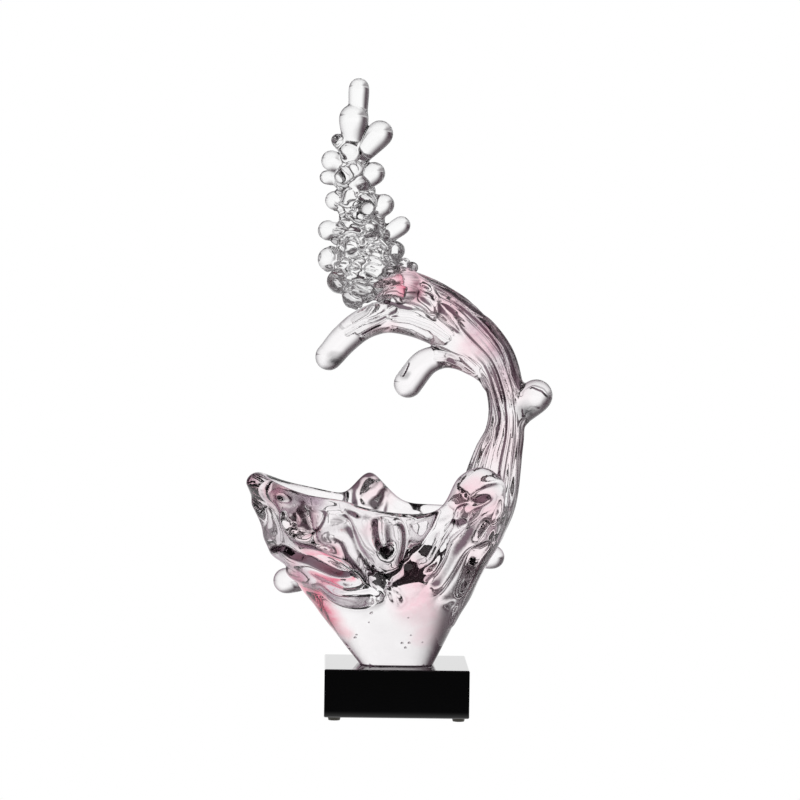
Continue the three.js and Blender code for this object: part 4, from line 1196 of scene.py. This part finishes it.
def rubber_material(name):
    """Amber rubber, slightly mottled and grained."""
    material, shader = new_shader(name)
    place = shader.place()
    mottle = shader.noise(place, 350, 3, 0.6).outputs[0]
    grain = shader.noise(place, 2500, 2, 0.5).outputs[0]
    shader.set(
        Base_Color=shader.blend(mottle, (0.026, 0.024, 0.016), (0.05, 0.044, 0.03)),
        Roughness=shader.step(mottle, 0.3, 0.7, 0.42, 0.62),
        Normal=shader.bump(grain, 0.3, 0.0002),
    )
    return material


TINTS_AND_PAINTED_SHADE = [
    (CLOUD_ROSE, ROSE_CLOUDS),
    (CLOUD_MAUVE, MAUVE_CLOUDS),
    (CLOUD_DEEP, DEEP_CLOUDS),
    (CLOUD_PAINTED_SHADE, PAINTED_SHADE_PATCHES),
    (CLOUD_FLOOR_SHADE, FLOOR_SHADE_CLOUDS),
]
rose_glass = glass_material("rose_glass", ROSE_BODY, ROSE_EDGE_SHADE, ROSE_EDGE_SHADE_FROM_TO, ROSE_FLANK_SHADE, TINTS_AND_PAINTED_SHADE)
clear_glass = glass_material("clear_glass", CLEAR_BODY, CLEAR_EDGE_SHADE, CLEAR_EDGE_SHADE_FROM_TO, CLEAR_FLANK_SHADE, [])
black_crystal = crystal_material("black_crystal")
clear_glue = glue_material("clear_glue")
amber_rubber = rubber_material("amber_rubber")

# Pieces

WAVE_BOX = ((-135, -75, -3), (140, 75, 340))
SPRAY_BOX = ((-80, -50, 280), (40, 50, 500))

wave_field = Field(*WAVE_BOX, WAVE_VOXEL, WAVE_REACH)
wave_field.join(bowl_shape(), BOWL_FILLET)
join_wave(wave_field)
for drop in BOWL_DROPS:
    wave_field.join(bowl_drop_shape(*drop), BOWL_FILLET)
wave_field.cut_below(0)
wave_field.details = [wall_detail, stem_detail, drip_detail]
wave_glass = add_glass("wave_glass", wave_field, rose_glass, BUBBLES)

spray_field = Field(*SPRAY_BOX, SPRAY_VOXEL, SPRAY_REACH)
for shape in spray_shapes():
    spray_field.join(shape, SPRAY_FILLET)
for shape in bead_shapes():
    spray_field.join(shape, BEAD_FILLET)

# The spray is parted from the stem's end by a thin gap
beside = Field(*SPRAY_BOX, SPRAY_VOXEL, SPRAY_REACH)
join_wave(beside)
spray_field.values = np.maximum(spray_field.values, PARTING - beside.values)
spray_field.details = [core_detail]
spray_glass = add_glass("spray_glass", spray_field, clear_glass)

for piece in (wave_glass, spray_glass):
    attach(piece, "root")
BOWL_DROP_NODES = ("bowl_drop_left", "bowl_drop_right")
WAVE_NODES = ("wave_bowl", "wave_stem", "long_drip", "short_drip", "stem_knob", *BOWL_DROP_NODES)
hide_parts(*WAVE_NODES)
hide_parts("spray_core", *(f"spray_drop_{n:02d}" for n in range(1, len(SPRAY_DROPS) + 1)))


def dress(node, material):
    """Gives a CAD node another material."""
    piece = frame["nodes"][node]
    piece.data.materials.clear()
    piece.data.materials.append(material)


dress("plinth", black_crystal)
dress("glue_film", clear_glue)
for foot in ("foot_front_left", "foot_front_right", "foot_back_left", "foot_back_right"):
    dress(foot, amber_rubber)

# Studio: where its panels fade, in radians round from the back or as shares upwards, and how they glow

DARK = (0.075, 0.05, 0.063)
WHITE = (1.0, 1.0, 1.0)
PANEL_RIGHT = (1.7, 1.25)
PANEL_LEFT = (0.6, 0.15)
PANEL_TOP = (0.15, 0.8)
PANEL_TILT = 0.8
CEILING = 0.1
WINDOWS = (0.35, 0.2)
WINDOW_GLOW = 0.1
FRONT_PANEL = (1.8, 2.1)
FRONT_GLOW = 0.6
LOW_BAND = (-0.08, -0.16)
LOW_GLOW = 0.6

# Floor, in metres from the origin
FLOOR_RADIUS = 2.5
FLOOR_SIDES = 96
FLOOR_FRONT = (-0.11, -0.03)
FLOOR_FRONT_GLOW = 0.02
FLOOR_RIGHT = (0.8, 1.6)
FLOOR_LEFT = (0.25, 0.8)
FLOOR_SIDE_GLOW = 0.3


def floor():
    """A pale floor that glows, with its front and sides dim in the glass."""
    mesh = bpy.data.meshes.new("floor")
    work = bmesh.new()
    bmesh.ops.create_circle(work, cap_ends=True, segments=FLOOR_SIDES, radius=FLOOR_RADIUS)
    work.to_mesh(mesh)
    work.free()
    material, shader = new_shader("floor")
    split = shader.node("SeparateXYZ", shader.place())
    seen = shader.node("LightPath").outputs["Is Camera Ray"]
    front = shader.step(split.outputs["Y"], *FLOOR_FRONT, FLOOR_FRONT_GLOW, 1)
    right = shader.step(split.outputs["X"], *FLOOR_RIGHT, 1, FLOOR_SIDE_GLOW)
    left = shader.step(shader.math("MULTIPLY", split.outputs["X"], -1.0), *FLOOR_LEFT, 1, FLOOR_SIDE_GLOW)
    level = shader.math("MAXIMUM", shader.math("MULTIPLY", right, left), seen)
    strength = shader.math("MAXIMUM", front, seen)
    glow = shader.node("Emission", shader.blend(level, DARK, WHITE), strength)
    shader.put(shader.tree.nodes["Material Output"].inputs["Surface"], glow.outputs[0])
    mesh.materials.append(material)
    add("floor", mesh)


def world():
    """A bright panel behind the glass, a dimmer one in front, narrow windows at the sides, a dark top, and a
    band of light low down. What the camera sees behind the object is white."""
    bpy.context.scene.world = bpy.data.worlds.new("studio")
    shader = Shader(bpy.context.scene.world)
    shader.tree.nodes.clear()
    split = shader.node("SeparateXYZ", shader.node("TexCoord").outputs["Generated"])
    x, y, z = split.outputs
    aside = shader.math("ARCTAN2", x, y)
    right = shader.step(aside, *PANEL_RIGHT)
    left = shader.step(shader.math("MULTIPLY", aside, -1.0), *PANEL_LEFT)
    panel = shader.math("MULTIPLY", right, left)
    either = shader.math("ABSOLUTE", aside)
    off_side = shader.math("ABSOLUTE", shader.math("SUBTRACT", either, math.pi / 2))
    level = shader.math("MAXIMUM", panel, shader.step(off_side, *WINDOWS, 0, WINDOW_GLOW))
    front = shader.step(either, *FRONT_PANEL, 0, FRONT_GLOW)
    level = shader.math("MAXIMUM", level, front)
    top = shader.math("SUBTRACT", z, shader.math("MULTIPLY", x, PANEL_TILT))
    level = shader.math("MULTIPLY", level, shader.step(top, *PANEL_TOP, 1, CEILING))
    level = shader.math("MAXIMUM", level, shader.step(z, *LOW_BAND, 0, LOW_GLOW))
    level = shader.math("MAXIMUM", level, shader.node("LightPath").outputs["Is Camera Ray"])
    back = shader.node("Background", shader.blend(level, DARK, WHITE))
    out = shader.node("OutputWorld")
    shader.put(out.inputs["Surface"], back.outputs[0])


# The photograph's camera: its place from the middle of the plinth's footprint, in metres, angles in radians
# and lens in millimetres

CAMERA_PLACE = Vector((-0.06658, -2.965, 0.42212))
CAMERA_YAW = 0.0225
CAMERA_PITCH = 0.0534
CAMERA_ROLL = 0.0146
CAMERA_LENS = 159.87
SENSOR_WIDTH = 36
FARTHEST = 20


def camera():
    """Stands where the photograph was taken from, and rolls as it did."""
    lens = bpy.data.cameras.new("camera")
    lens.lens = CAMERA_LENS
    lens.sensor_width = SENSOR_WIDTH
    lens.clip_end = FARTHEST
    taker = add("camera", lens)
    forward = Vector(
        (
            math.sin(CAMERA_YAW) * math.cos(CAMERA_PITCH),
            math.cos(CAMERA_YAW) * math.cos(CAMERA_PITCH),
            -math.sin(CAMERA_PITCH),
        )
    )
    right = Vector((math.cos(CAMERA_YAW), -math.sin(CAMERA_YAW), 0))
    up = right.cross(forward)
    rolled_right = right * math.cos(CAMERA_ROLL) + up * math.sin(CAMERA_ROLL)
    rolled_up = up * math.cos(CAMERA_ROLL) - right * math.sin(CAMERA_ROLL)
    turned = Matrix((rolled_right, rolled_up, -forward)).transposed()
    taker.matrix_world = Matrix.Translation(
        CAMERA_PLACE + Vector((PLINTH_MIDDLE.x, PLINTH_MIDDLE.y, 0))
    ) @ turned.to_4x4()
    bpy.context.scene.camera = taker


floor()
world()
camera()
scene = bpy.context.scene
scene.view_settings.view_transform = "Standard"
scene.cycles.max_bounces = 24
scene.cycles.transmission_bounces = 24
scene.cycles.transparent_max_bounces = 16

bpy.context.view_layer.update()
